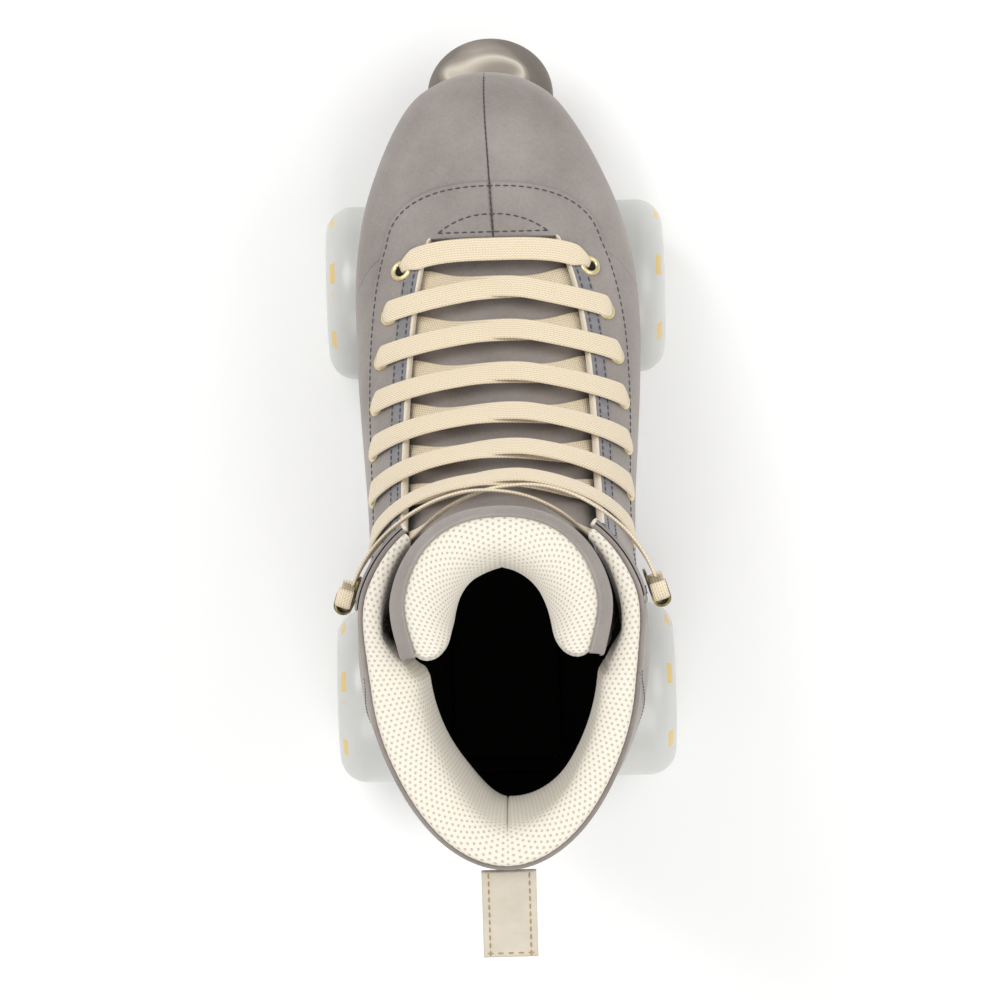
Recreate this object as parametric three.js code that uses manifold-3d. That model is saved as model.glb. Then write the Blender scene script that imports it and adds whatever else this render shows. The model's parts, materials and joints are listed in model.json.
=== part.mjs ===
// Quad roller skate for a right foot: a high lace-up boot on a plate with two steering trucks,
// four wheels and a toe stop. Millimetres. +Y points to the toe, +X to the outer (lateral) side
// of the foot, +Z is up, and the wheels stand on z = 0.
import * as THREE from 'three';
import { mergeVertices } from 'three/addons/utils/BufferGeometryUtils.js';
import Module from 'manifold-3d';

const wasm = await Module();
wasm.setup();

// ---------------------------------------------------------------- driving dimensions
const GAP = 0.3;              // between pieces that rest on each other
const SOFT_GAP = 1.0;         // between curved soft layers, whose flat facets differ
const RUNNING = 0.06;         // radial clearance of turning fits, beyond the facets

const WHEEL_R = 32.5;
const WHEEL_W = 38;
const TRACK_OUT = 63.2;       // outer wheel face from the centre plane
const WHEELBASE = 152;
const FRONT_AXLE_Y = 79.5;
const LIP_R = 10;             // rounding of the outer tread edge
const INNER_LIP_R = 6;
const HUB_RECESS_R = 16;
const HUB_RECESS = 7;         // depth of the outer hub recess
const INNER_RECESS = 3;

const BEARING_R = 11;         // 608 bearing
const BEARING_W = 7;
const AXLE_R = 4;
const NUT_FLATS = 12.7;
const NUT_H = 6.2;

const HANGER_R = 9;
const RING_D = -21;           // kingpin ring centre: distance outboard of the axle
const RING_Z = 51;
const RING_H = 7;
const RING_R = 13;
const PIVOT_D = 22;
const PIVOT_Z = 63;
const PIVOT_R = 4.5;
const KINGPIN_LEAN = THREE.MathUtils.degToRad(12);
const KINGPIN_R = 4.76;
const RING_PLAY = 1.1;        // lets the ring tilt on the kingpin
const CUSHION_R = 10.5;
const UPPER_CUSHION = 10;
const LOWER_CUSHION = 9;
const STEER_LIMIT = THREE.MathUtils.degToRad(6);
const LOCKNUT_H = 8;
const LOCKNUT_FLATS = 14.3;

const PLATE_TOP = 78.4;
const PLATE_T = 6;
const PLATE_REAR = -112;
const PLATE_FRONT = 122;

const STOP_R = 23.7;          // toe stop pad
const STOP_T = 20;
const STOP_TILT = THREE.MathUtils.degToRad(32);
const STOP_FACE_Y = 154.3;
const STOP_FACE_Z = 28;
const STEM_R = 7.9;
const STEM_L = 50;
const STOP_NUT_H = 7;
const STOP_NUT_FLATS = 24;

const LEATHER = 1.8;
const OVERLAY = 1.3;
const LINING = 2.2;
const OUTSOLE_T = 6;
const BOARD_T = 2;
const FOOTBED_T = 4;
const BOLT_R = 2.5;
const BOLT_HEAD_R = 4.6;
const BOLT_HEAD_H = 3;

const EYELET_ROWS = 7;
const EYELET_HOLE = 2.6;
const LACE_W = 7.2;
const LACE_T = 1.2;
const TAB_W = 18.5;
const TAB_L = 30;
const TAB_T = 2.8;

// The boot's outer shape as a row of sections that fan from upright across the toes to level at
// the top of the shaft. Each row: front point y, z; back point y, z; half width; where the widest
// place lies from back to front; roundness of the back and front halves; how much the back half
// narrows; shift towards the outer side.
const FORM = [
  [156.0, 100, 156.0, 98, 0.6, 0.50, 2.0, 2.0, 0.00, -2.0],
  [154.6, 112, 154.8, 88.5, 10, 0.45, 2.4, 2.2, 0.00, -2.1],
  [151.0, 119, 151.5, 86, 18.5, 0.42, 2.8, 2.3, 0.02, -2.3],
  [145.0, 126, 146.0, 85, 26, 0.42, 3.0, 2.3, 0.04, -2.4],
  [135.0, 131.5, 136.0, 85, 33, 0.42, 3.2, 2.3, 0.06, -2.2],
  [121.0, 135.5, 122.0, 85, 40, 0.42, 3.2, 2.3, 0.08, -1.6],
  [104.0, 139.5, 105.0, 85, 46.3, 0.42, 3.2, 2.3, 0.10, -0.9],
  [84.0, 146, 85.0, 85.5, 50.3, 0.42, 3.2, 2.25, 0.10, 0.0],
  [63.0, 158.5, 62.0, 87, 51.3, 0.42, 3.0, 2.2, 0.12, 0.5],
  [43.0, 175, 38.0, 90, 50.5, 0.42, 3.0, 2.15, 0.15, 0.4],
  [26.0, 192, 13.0, 94.5, 49, 0.43, 3.2, 2.15, 0.20, 0.2],
  [13.0, 208, -13.0, 100, 47.5, 0.45, 3.5, 2.15, 0.25, 0.0],
  [5.0, 221, -40.0, 105.5, 46.8, 0.47, 3.8, 2.15, 0.30, 0.0],
  [1.5, 232, -67.0, 110, 46.8, 0.50, 4.0, 2.2, 0.32, 0.0],
  [0.0, 239.5, -93.0, 112, 47.2, 0.55, 3.6, 2.2, 0.32, 0.0],
  [0.0, 245, -113.0, 116, 47.6, 0.58, 2.7, 2.2, 0.26, 0.0],
  [0.0, 249, -124.0, 131, 48, 0.60, 2.2, 2.2, 0.16, 0.0],
  [0.0, 252, -127.0, 152, 48.5, 0.60, 2.0, 2.25, 0.08, 0.0],
  [0.0, 254.5, -125.5, 176, 49, 0.59, 1.9, 2.25, 0.03, -0.3],
  [0.0, 256.5, -122.0, 201, 49.5, 0.58, 1.9, 2.3, 0.00, -0.6],
  [0.5, 258.5, -121.5, 228, 50, 0.56, 1.95, 2.3, 0.00, -0.9],
  [1.0, 261, -124.0, 255, 50.5, 0.55, 1.95, 2.3, 0.00, -1.2],
  [2.5, 270, -124.0, 266, 50.5, 0.55, 1.95, 2.3, 0.00, -1.2],
  [5.0, 281, -124.0, 278, 50.5, 0.55, 1.95, 2.3, 0.00, -1.2],
];
const U_THROAT = 6.55;        // front end of the lacing gap
const U_OVERLAY = 5.45;       // front edge of the eyelet facings
const U_TOE = 9.0;            // vamp to quarter seam at the feather line
const U_HEEL_SEAM = 13.6;     // quarter to heel counter seam at the feather line
const U_HEEL = 15.2;          // heel counter's lower edge at the back
const T_SIDE_SEAM = 0.52;     // side seam at the top of the shaft
const U_TOP = 21.0;           // top edge of the shaft
const U_TONGUE = 22.9;        // top of the tongue
const T_MARGIN = 0.88;        // the upper turns under the foot this far round

// ---------------------------------------------------------------- small tools
const V = (x, y, z) => new THREE.Vector3(x, y, z);
const mix = (a, b, f) => a + (b - a) * f;
const clamp01 = (f) => Math.min(1, Math.max(0, f));
const smooth = (f) => clamp01(f) * clamp01(f) * (3 - 2 * clamp01(f));

function signedVolume(positions, index) {
  let sum = 0;
  const p = [V(), V(), V()];
  for (let i = 0; i < index.length; i += 3) {
    p.forEach((v, k) => v.fromArray(positions, index[i + k] * 3));
    sum += p[0].dot(p[1].cross(p[2]));
  }
  return sum;
}

function closedGeometry(positions, index) {
  const tris = [...index];
  if (signedVolume(positions, tris) < 0) {
    for (let i = 0; i < tris.length; i += 3) {
      [tris[i], tris[i + 1]] = [tris[i + 1], tris[i]];
    }
  }
  const geometry = new THREE.BufferGeometry();
  geometry.setAttribute('position', new THREE.Float32BufferAttribute(positions, 3));
  geometry.setIndex(tris);
  return geometry;
}

// Merge shared corners and drop triangles that have lost their area.
function welded(source) {
  const bare = source.clone();
  bare.deleteAttribute('normal');
  bare.deleteAttribute('uv');
  const merged = mergeVertices(bare, 1e-3);
  const index = merged.index.array;
  const kept = [];
  for (let i = 0; i < index.length; i += 3) {
    const [a, b, c] = [index[i], index[i + 1], index[i + 2]];
    if (a !== b && b !== c && a !== c) kept.push(a, b, c);
  }
  return closedGeometry([...merged.attributes.position.array], kept);
}

function toSolid(geometry) {
  const clean = welded(geometry);
  return new wasm.Manifold(new wasm.Mesh({
    numProp: 3,
    vertProperties: new Float32Array(clean.attributes.position.array),
    triVerts: new Uint32Array(clean.index.array),
  }));
}

function toGeometry(solid) {
  const mesh = solid.getMesh();
  const geometry = new THREE.BufferGeometry();
  geometry.setAttribute('position', new THREE.Float32BufferAttribute([...mesh.vertProperties], 3));
  geometry.setIndex([...mesh.triVerts]);
  return geometry;
}

const joined = (solids) => solids.reduce((all, one) => all.add(one));
const cutBy = (solid, cutters) => cutters.reduce((all, one) => all.subtract(one), solid);

// Turn and move a geometry built along +Y so that it starts at `from` and runs along `along`.
function aimed(geometry, from, along) {
  const turn = new THREE.Quaternion().setFromUnitVectors(V(0, 1, 0), along.clone().normalize());
  return geometry.applyQuaternion(turn).translate(from.x, from.y, from.z);
}

function rod(from, to, radius, sides = 24) {
  const length = from.distanceTo(to);
  const geometry = new THREE.CylinderGeometry(radius, radius, length, sides);
  return aimed(geometry.translate(0, length / 2, 0), from, to.clone().sub(from));
}

function turned(profile, from, along, sides = 24) {
  const points = profile.map(([r, h]) => new THREE.Vector2(r, h));
  return welded(aimed(new THREE.LatheGeometry(points, sides, Math.PI / sides), from, along));
}

const hexRadius = (flats) => flats / Math.sqrt(3);

function hexNut(from, along, flats, height, bore) {
  const end = from.clone().addScaledVector(along, height);
  const hole = rod(from.clone().addScaledVector(along, -1), end.clone().addScaledVector(along, 1), bore);
  return toSolid(rod(from, end, hexRadius(flats), 6)).subtract(toSolid(hole));
}

// A closed sheet between two surfaces given over 0..1 by 0..1.
function sheet(outer, inner, along, across) {
  const positions = [];
  const index = [];
  const wide = across + 1;
  const layer = (along + 1) * wide;
  for (const surface of [outer, inner]) {
    for (let i = 0; i <= along; i++) {
      for (let j = 0; j <= across; j++) positions.push(...surface(i / along, j / across).toArray());
    }
  }
  const quad = (a, b, c, d) => index.push(a, b, c, a, c, d);
  for (let i = 0; i < along; i++) {
    for (let j = 0; j < across; j++) {
      const a = i * wide + j;
      quad(a, a + wide, a + wide + 1, a + 1);
      quad(layer + a, layer + a + 1, layer + a + wide + 1, layer + a + wide);
    }
  }
  for (let i = 0; i < along; i++) {
    const a = i * wide;
    const b = a + across;
    quad(a, layer + a, layer + a + wide, a + wide);
    quad(b, b + wide, layer + b + wide, layer + b);
  }
  for (let j = 0; j < across; j++) {
    const b = along * wide + j;
    quad(j, j + 1, layer + j + 1, layer + j);
    quad(b, layer + b, layer + b + 1, b + 1);
  }
  return closedGeometry(positions, index);
}

// ---------------------------------------------------------------- the boot's form
function formAt(u) {
  const last = FORM.length - 1;
  const i = Math.min(last - 1, Math.max(0, Math.floor(u)));
  const f = u - i;
  const rows = [Math.max(0, i - 1), i, i + 1, Math.min(last, i + 2)].map((k) => FORM[k]);
  return rows[1].map((_, c) => {
    const [p0, p1, p2, p3] = rows.map((row) => row[c]);
    const a = 2 * p1;
    const b = p2 - p0;
    const d = 2 * p0 - 5 * p1 + 4 * p2 - p3;
    const e = 3 * p1 - p0 - 3 * p2 + p3;
    return 0.5 * (a + b * f + d * f * f + e * f * f * f);
  });
}

// t runs round a section: 0 at the front (top), +-1 at the back (sole), positive to the outer side.
function onForm(u, turn) {
  const t = turn > 1 ? turn - 2 : turn;
  const [fy, fz, by, bz, half, mid, backRound, frontRound, taper, shift] = formAt(u);
  const side = Math.sign(t);
  let along;
  let x;
  if (Math.abs(t) <= 0.5) {
    const angle = Math.PI * Math.abs(t);
    x = half * Math.sin(angle) ** (2 / frontRound);
    along = mid + (1 - mid) * Math.max(0, Math.cos(angle)) ** (2 / frontRound);
  } else {
    const angle = Math.PI * (1 - Math.abs(t));
    const depth = Math.max(0, Math.cos(angle)) ** (2 / backRound);
    x = half * Math.max(0, Math.sin(angle)) ** (2 / backRound) * (1 - taper * depth ** 1.5);
    along = mid * (1 - depth);
  }
  return V(shift + side * x, mix(by, fy, along), mix(bz, fz, along));
}

function skin(u, t, offset = 0) {
  const point = onForm(u, t);
  const du = onForm(Math.min(u + 0.03, FORM.length - 1), t).sub(onForm(Math.max(u - 0.03, 0), t));
  const dt = onForm(u, t + 0.012).sub(onForm(u, t - 0.012));
  const normal = du.cross(dt).normalize();
  const [fy, fz, by, bz, , , , , , shift] = formAt(u);
  const inside = V(shift, (fy + by) / 2, (fz + bz) / 2);
  if (normal.dot(point.clone().sub(inside)) < 0) normal.negate();
  return { point: point.addScaledVector(normal, offset), normal };
}

const tAtWidth = (u, x) => {
  const [, , , , half, , , frontRound] = formAt(u);
  return Math.asin(Math.min(1, x / half) ** (frontRound / 2)) / Math.PI;
};

// Half width of the lacing gap, and of the row of eyelets, along the boot.
const gapHalf = (u) => 33.6 - 10.8 * Math.exp(-(u - U_THROAT) / 1.3) - 2 * smooth((u - 15) / 6);
const tGap = (u) => tAtWidth(u, gapHalf(u));
const eyeletHalf = (row) => 43.3 - 10.3 * (1 - row / (EYELET_ROWS - 1)) ** 3;
const eyeletY = (row) => 82 - 16 * row;

function eyeletPlace(row) {
  let low = 4;
  let high = 14.5;
  for (let step = 0; step < 40; step++) {
    const u = (low + high) / 2;
    if (onForm(u, tAtWidth(u, eyeletHalf(row))).y > eyeletY(row)) low = u;
    else high = u;
  }
  return { u: low, t: tAtWidth(low, eyeletHalf(row)) };
}
const EYELETS = Array.from({ length: EYELET_ROWS }, (_, row) => eyeletPlace(row));

// A layer of the upper: `map` gives u and t over 0..1 by 0..1, `top` and `low` are offsets.
function layer(map, top, low, along, across) {
  const at = (offset) => (a, b) => {
    const [u, t] = map(a, b);
    const value = typeof offset === 'function' ? offset(a, b, u, t) : offset;
    return skin(u, t, value).point;
  };
  return sheet(at(top), at(low), along, across);
}

const OVERLAY_LIFT = 0.55;    // the facing lies on the vamp and quarter
const SEAM = 0.004;           // half a seam gap, in turns round the section
const SEAM_U = 0.025;         // the same along the boot

// Seams of the upper in u and t: the vamp meets the quarter, and the quarter the heel counter.
const T_CORNER = tGap(U_THROAT);
const uVampEdge = (t) => mix(U_THROAT, U_TOE, smooth((t - T_CORNER) / (T_MARGIN - T_CORNER)));

function vamp(side) {
  return layer((a, b) => {
    const t = mix(SEAM, T_MARGIN, b);
    return [mix(0.05, uVampEdge(t) - SEAM_U, a), side * t];
  }, 0, -LEATHER, 10, 8);
}

const FEATHER_ROWS = 6;
const SEAM_ROWS = 8;
function quarterEdge(a) {
  const row = a * (FEATHER_ROWS + SEAM_ROWS);
  if (row < FEATHER_ROWS) return [mix(U_TOE + SEAM_U, U_HEEL_SEAM, row / FEATHER_ROWS), T_MARGIN];
  const f = (row - FEATHER_ROWS) / SEAM_ROWS;
  return [mix(U_HEEL_SEAM, U_TOP, f), mix(T_MARGIN, T_SIDE_SEAM, f)];
}

function quarter(side) {
  return layer((a, b) => {
    const u = mix(U_THROAT + SEAM_U, U_TOP, a);
    const [uEdge, tEdge] = quarterEdge(a);
    return [mix(u, uEdge, mix(smooth(b), b, clamp01(a * 3))), side * mix(tGap(u), tEdge, b)];
  }, 0, -LEATHER, FEATHER_ROWS + SEAM_ROWS, 8);
}

function heelCounter() {
  return layer((a, b) => {
    const side = b < 0.5 ? 1 : -1;
    const around = Math.abs(1 - 2 * b);
    const under = Math.max(0, around - 0.5) * 2;
    const uLow = mix(U_HEEL, U_HEEL_SEAM, under);
    const tLow = around > 0.5 ? T_MARGIN + SEAM : 1 - (1 - T_MARGIN) * around * 2;
    const t = mix(tLow, mix(1, T_SIDE_SEAM + SEAM, around), a);
    return [mix(uLow, U_TOP, a), side > 0 ? t : 2 - t];
  }, 0, -LEATHER, SEAM_ROWS, 18);
}

function eyestay(side) {
  const bend = 0.28;
  return layer((a, b) => {
    const f = clamp01(a / bend);
    const g = clamp01((a - bend) / (1 - bend));
    const inU = mix(U_THROAT, U_TOP, g);
    const inT = a < bend ? mix(SEAM, T_CORNER, f) : tGap(inU);
    const turn = (Math.PI / 2) * f;
    const outU = U_OVERLAY + 1.15 * (1 - Math.cos(turn)) + (U_TOP - U_OVERLAY - 1.15) * g;
    const spread = g > 0 ? 0.13 * (1 - Math.exp(-(outU - U_OVERLAY - 1.15) / 2.5)) : 0;
    const outT = SEAM + (0.275 - SEAM) * Math.sin(turn) + spread;
    return [mix(inU, outU, b), side * mix(inT, outT, b)];
  }, OVERLAY_LIFT + OVERLAY, OVERLAY_LIFT, 18, 3);
}

function eyeletHoles(side) {
  return EYELETS.map(({ u, t }) => {
    const { point, normal } = skin(u, side * t);
    const from = point.clone().addScaledVector(normal, -8);
    return toSolid(rod(from, point.clone().addScaledVector(normal, 6), EYELET_HOLE, 6));
  });
}

// ---------------------------------------------------------------- materials
const finish = (color, roughness, metalness = 0) => ({ color, roughness, metalness });
const TAUPE = finish(0xa29b96, 0.6);
const DEEP_TAUPE = finish(0x8a837d, 0.65);
const MESH = finish(0xe2dacb, 0.9);
const CORD = finish(0xe8dcc8, 0.85);
const STRAP = finish(0xd5cdbf, 0.6);
const SOLE = finish(0xcfc7ba, 0.7);
const STEEL = finish(0xb9bcbe, 0.3, 1);
const ALLOY = finish(0xaeb1b3, 0.4, 1);
const NYLON = finish(0x8d8782, 0.5);
const URETHANE = finish(0xd9d9d4, 0.35);
const CUSHION = finish(0xe9e2d4, 0.5);
const STOPPER = finish(0x8f867c, 0.7);
const BRASS = finish(0x9c8a5a, 0.4, 1);

const skate = new THREE.Group();

function part(name, shape, look, parent = skate) {
  const geometry = shape.isBufferGeometry ? shape : toGeometry(shape);
  const mesh = new THREE.Mesh(geometry, new THREE.MeshStandardMaterial(look));
  mesh.name = name;
  parent.add(mesh);
  return mesh;
}

// ---------------------------------------------------------------- running gear
// A truck in its own frame: x across, y outboard of the axle, z up from the ground.
const RING = V(0, RING_D, RING_Z);
const PIVOT = V(0, PIVOT_D, PIVOT_Z);
const STEER_AXIS = PIVOT.clone().sub(RING).normalize();
const KINGPIN_AXIS = V(0, Math.sin(KINGPIN_LEAN), Math.cos(KINGPIN_LEAN));
const onKingpin = (s) => RING.clone().addScaledVector(KINGPIN_AXIS, s);
const onSteer = (s) => RING.clone().addScaledVector(STEER_AXIS, s);
const PIVOT_TIP = RING.distanceTo(PIVOT) + 2.5;
const CUP_WALL = 2.8;
const CUP_DEPTH = 9;
const BEARING_OUT = TRACK_OUT - HUB_RECESS;
const BEARING_IN = TRACK_OUT - WHEEL_W + INNER_RECESS;
const HANGER_HALF = BEARING_IN - GAP;
const STACK_TOP = RING_H / 2 + GAP + UPPER_CUSHION + GAP;
const STACK_LOW = RING_H / 2 + GAP + LOWER_CUSHION + GAP;
const FACET = 1 / Math.cos(Math.PI / 24);

function hanger() {
  const barrel = toSolid(rod(V(-HANGER_HALF, 0, WHEEL_R), V(HANGER_HALF, 0, WHEEL_R), HANGER_R));
  const ring = toSolid(rod(onKingpin(-RING_H / 2), onKingpin(RING_H / 2), RING_R));
  const web = new THREE.Shape();
  web.moveTo(-RING_R - 1, RING_Z - 1);
  web.lineTo(-RING_R - 1.5, RING_Z + 4.5);
  web.lineTo(-2, RING_Z + 9);
  web.lineTo(9, RING_Z + 13);
  web.lineTo(13, RING_Z + 5);
  web.lineTo(6, WHEEL_R - 2);
  web.lineTo(-6, WHEEL_R - 2);
  web.lineTo(-6.5, RING_Z - 9);
  web.closePath();
  const plateWeb = new THREE.ExtrudeGeometry(web, { depth: 14, bevelEnabled: false });
  plateWeb.applyMatrix4(new THREE.Matrix4().makeBasis(V(0, 1, 0), V(0, 0, 1), V(1, 0, 0)));
  plateWeb.translate(-7, 0, 0);
  const pin = toSolid(rod(onSteer(24), onSteer(PIVOT_TIP), PIVOT_R));
  const hole = toSolid(rod(onKingpin(-20), onKingpin(20), KINGPIN_R + RING_PLAY));
  const bore = toSolid(rod(V(-40, 0, WHEEL_R), V(40, 0, WHEEL_R), AXLE_R + GAP));
  const room = toSolid(rod(onKingpin(-RING_H / 2 - 14), onKingpin(-RING_H / 2 - 0.01), RING_R - 1));
  const above = toSolid(rod(onKingpin(RING_H / 2 + 0.01), onKingpin(30), RING_R + 1));
  return cutBy(joined([barrel, ring, toSolid(plateWeb), pin]), [hole, bore, room, above]);
}

// Cushion faces towards the ring are coned, so that the ring can tilt to its limit.
function cushion(start, height, direction) {
  const slope = Math.tan(STEER_LIMIT) * 1.25;
  const bore = (KINGPIN_R + GAP) * FACET;
  const rise = (r) => slope * (r - bore) + 0.12;
  const waist = CUSHION_R - 0.8;
  const profile = [
    [bore, 0.5], [waist - 1, rise(waist) + 0.1], [CUSHION_R, 3], [CUSHION_R, height - 2],
    [waist, height], [bore, height],
  ];
  const along = KINGPIN_AXIS.clone().multiplyScalar(direction);
  return turned([...profile, profile[0]], onKingpin(start), along, 20);
}

function wheelProfile() {
  const half = WHEEL_W / 2;
  const seat = (BEARING_R + GAP) * FACET;
  const points = [[8, -half + INNER_RECESS + BEARING_W + GAP]];
  points.push([seat, -half + INNER_RECESS + BEARING_W + GAP], [seat, -half + INNER_RECESS]);
  points.push([13.5, -half + INNER_RECESS - 0.01], [14.5, -half + 0.4], [21, -half]);
  for (const a of [0, 90]) {
    const angle = THREE.MathUtils.degToRad(a);
    points.push([
      WHEEL_R - INNER_LIP_R * (1 - Math.sin(angle)), -half + INNER_LIP_R * (1 - Math.cos(angle)),
    ]);
  }
  for (const a of [0, 45, 90]) {
    const angle = THREE.MathUtils.degToRad(a);
    points.push([
      WHEEL_R - LIP_R * (1 - Math.cos(angle)), half - LIP_R * (1 - Math.sin(angle)),
    ]);
  }
  points.push([HUB_RECESS_R + 1.5, half - 0.5], [HUB_RECESS_R, half - HUB_RECESS + 1]);
  points.push([seat, half - HUB_RECESS], [seat, half - HUB_RECESS - BEARING_W - GAP]);
  points.push([8, half - HUB_RECESS - BEARING_W - GAP]);
  const ring = points.map(([r, h]) => [r > seat ? r * FACET : r, h]);
  return [...ring, ring[0]];
}

const BEARING_PROFILE = (() => {
  const bore = (AXLE_R + RUNNING) * FACET;
  const points = [
    [bore, 0], [BEARING_R, 0], [BEARING_R, BEARING_W], [bore, BEARING_W],
  ];
  return [...points, points[0]];
})();

function truck(prefix, axleY, facing) {
  const group = new THREE.Group();
  group.position.set(0, axleY, 0);
  group.rotation.z = facing > 0 ? 0 : Math.PI;
  skate.add(group);
  part(`${prefix}_hanger`, hanger(), ALLOY, group);
  const axle = rod(V(-TRACK_OUT + 1, 0, WHEEL_R), V(TRACK_OUT - 1, 0, WHEEL_R), AXLE_R);
  part(`${prefix}_axle`, axle, STEEL, group);
  const kingTop = (PLATE_TOP - 2 - RING_Z) / Math.cos(KINGPIN_LEAN);
  const kingpin = rod(onKingpin(-STACK_LOW - LOCKNUT_H - 2), onKingpin(kingTop), KINGPIN_R);
  part(`${prefix}_kingpin`, kingpin, STEEL, group);
  part(`${prefix}_cushion_upper`, cushion(RING_H / 2, UPPER_CUSHION + GAP, 1), CUSHION, group);
  part(`${prefix}_cushion_lower`, cushion(-RING_H / 2, LOWER_CUSHION + GAP, -1), CUSHION, group);
  part(`${prefix}_kingpin_nut`,
    hexNut(onKingpin(-STACK_LOW), KINGPIN_AXIS.clone().negate(), LOCKNUT_FLATS, LOCKNUT_H, KINGPIN_R + GAP),
    STEEL, group);
  const bore = (PIVOT_R + RUNNING) * FACET;
  const outer = PIVOT_R + CUP_WALL;
  part(`${prefix}_pivot_cup`, turned([
    [0, CUP_DEPTH + 1.5], [0, CUP_DEPTH], [bore, CUP_DEPTH], [bore, 0], [outer, 0],
    [outer, CUP_DEPTH + 1.5], [0, CUP_DEPTH + 1.5],
  ], onSteer(PIVOT_TIP - CUP_DEPTH + GAP), STEER_AXIS), CUSHION, group);
  for (const side of [-1, 1]) {
    const label = side * facing > 0 ? 'lateral' : 'medial';
    const out = V(side, 0, 0);
    const at = (x) => V(side * x, 0, WHEEL_R);
    const bearing = (x) => turned(BEARING_PROFILE, at(x), out);
    const nut = hexNut(at(BEARING_OUT + GAP), out, NUT_FLATS, NUT_H - GAP, AXLE_R + GAP);
    const wheel = turned(wheelProfile(), at(TRACK_OUT - WHEEL_W / 2), out);
    part(`${prefix}_wheel_${label}`, wheel, URETHANE, group);
    part(`${prefix}_bearing_inner_${label}`, bearing(BEARING_IN), STEEL, group);
    part(`${prefix}_bearing_outer_${label}`, bearing(BEARING_OUT - BEARING_W), STEEL, group);
    part(`${prefix}_axle_nut_${label}`, nut, STEEL, group);
  }
}

// ---------------------------------------------------------------- plate and toe stop
const STOP_AXIS = V(0, -Math.sin(STOP_TILT), Math.cos(STOP_TILT));   // from the pad up to the plate
const onStop = (s) => V(0, STOP_FACE_Y, STOP_FACE_Z).addScaledVector(STOP_AXIS, s);
const BOLTS = [V(-17, 50, 0), V(17, 50, 0), V(-15, -92, 0), V(15, -92, 0)];

function truckMatrix(axleY, facing) {
  const matrix = new THREE.Matrix4().makeRotationZ(facing > 0 ? 0 : Math.PI);
  return matrix.setPosition(0, axleY, 0);
}

function plate() {
  const half = [[PLATE_FRONT, 15], [100, 27], [60, 28], [10, 20], [-30, 19], [-70, 25], [PLATE_REAR, 22]];
  const outline = new THREE.Shape();
  half.forEach(([y, x], i) => (i ? outline.lineTo(x, y) : outline.moveTo(x, y)));
  [...half].reverse().forEach(([y, x]) => outline.lineTo(-x, y));
  outline.closePath();
  const slab = new THREE.ExtrudeGeometry(outline, { depth: PLATE_T, bevelEnabled: false });
  slab.translate(0, 0, PLATE_TOP - PLATE_T);
  const rib = new THREE.BoxGeometry(9, WHEELBASE - 84, 8);
  rib.translate(0, FRONT_AXLE_Y - WHEELBASE / 2, PLATE_TOP - PLATE_T - 3);
  const stopBoss = toSolid(rod(onStop(STOP_T + STOP_NUT_H + 3 * GAP), onStop(56), STEM_R + 5));
  const bosses = [];
  const holes = [toSolid(rod(onStop(0), onStop(STEM_L + 2), STEM_R + GAP))];
  for (const [axleY, facing] of [[FRONT_AXLE_Y, 1], [FRONT_AXLE_Y - WHEELBASE, -1]]) {
    const matrix = truckMatrix(axleY, facing);
    const placed = (geometry) => toSolid(geometry.applyMatrix4(matrix));
    bosses.push(placed(rod(onKingpin(STACK_TOP), onKingpin(27), CUSHION_R + 1.5)));
    const socket = rod(onSteer(PIVOT_TIP - CUP_DEPTH - 0.5), onSteer(PIVOT_TIP + 5),
      PIVOT_R + CUP_WALL + 3.5);
    bosses.push(placed(socket));
    holes.push(placed(rod(onKingpin(0), onKingpin(27), KINGPIN_R + GAP)));
    holes.push(placed(rod(onSteer(20), onSteer(PIVOT_TIP + 2 + GAP), (PIVOT_R + CUP_WALL + GAP) * FACET)));
  }
  for (const bolt of BOLTS) {
    holes.push(toSolid(rod(bolt.clone().setZ(50), bolt.clone().setZ(100), BOLT_R + GAP, 8)));
  }
  const above = new THREE.BoxGeometry(120, 400, 40).translate(0, 0, PLATE_TOP + 20);
  const body = joined([toSolid(slab), toSolid(rib), stopBoss, ...bosses]);
  return cutBy(body, [...holes, toSolid(above)]);
}

function toeStop() {
  const bore = (STEM_R * 0.62 + GAP) * FACET;
  const profile = [
    [0, 0], [STOP_R - 2.5, 0], [STOP_R, 2.5], [STOP_R, 9], [STOP_R - 3, STOP_T - 3], [STOP_R - 6, STOP_T],
    [bore, STOP_T], [bore, 6], [0, 6],
  ];
  return turned(profile, onStop(0), STOP_AXIS);
}

function toeStopStem() {
  const core = toSolid(rod(onStop(6 + GAP), onStop(STOP_T + 1), STEM_R * 0.62));
  return core.add(toSolid(rod(onStop(STOP_T + GAP), onStop(STEM_L), STEM_R)));
}

// ---------------------------------------------------------------- sole
// Height of the boot's underside at a place along the foot.
function undersideZ(y) {
  const points = FORM.slice(2, 16).map((row) => [row[2], row[3]]);
  for (let i = 0; i < points.length - 1; i++) {
    const [y0, z0] = points[i];
    const [y1, z1] = points[i + 1];
    if (y <= y0 && y >= y1) return mix(z0, z1, (y0 - y) / (y0 - y1));
  }
  return y > points[0][0] ? points[0][1] : points[points.length - 1][1];
}

// Half width of the sole, with round ends.
const SOLE_FRONT = 149.5;
const SOLE_REAR = -121;
function soleHalf(y) {
  const knots = [
    [SOLE_FRONT, 36], [118, 40], [84, 45], [58, 44], [28, 38], [-8, 31], [-50, 31], [SOLE_REAR, 32],
  ];
  let half = 31;
  for (let i = 0; i < knots.length - 1; i++) {
    const [y0, w0] = knots[i];
    const [y1, w1] = knots[i + 1];
    if (y <= y0 && y >= y1) half = mix(w0, w1, smooth((y0 - y) / (y0 - y1)));
  }
  const toe = clamp01((SOLE_FRONT - y) / 42);
  const heel = clamp01((y - SOLE_REAR) / 30);
  return half * Math.sqrt(1 - (1 - toe) ** 2.2) * Math.sqrt(1 - (1 - heel) ** 2.2) + 0.4;
}

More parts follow.
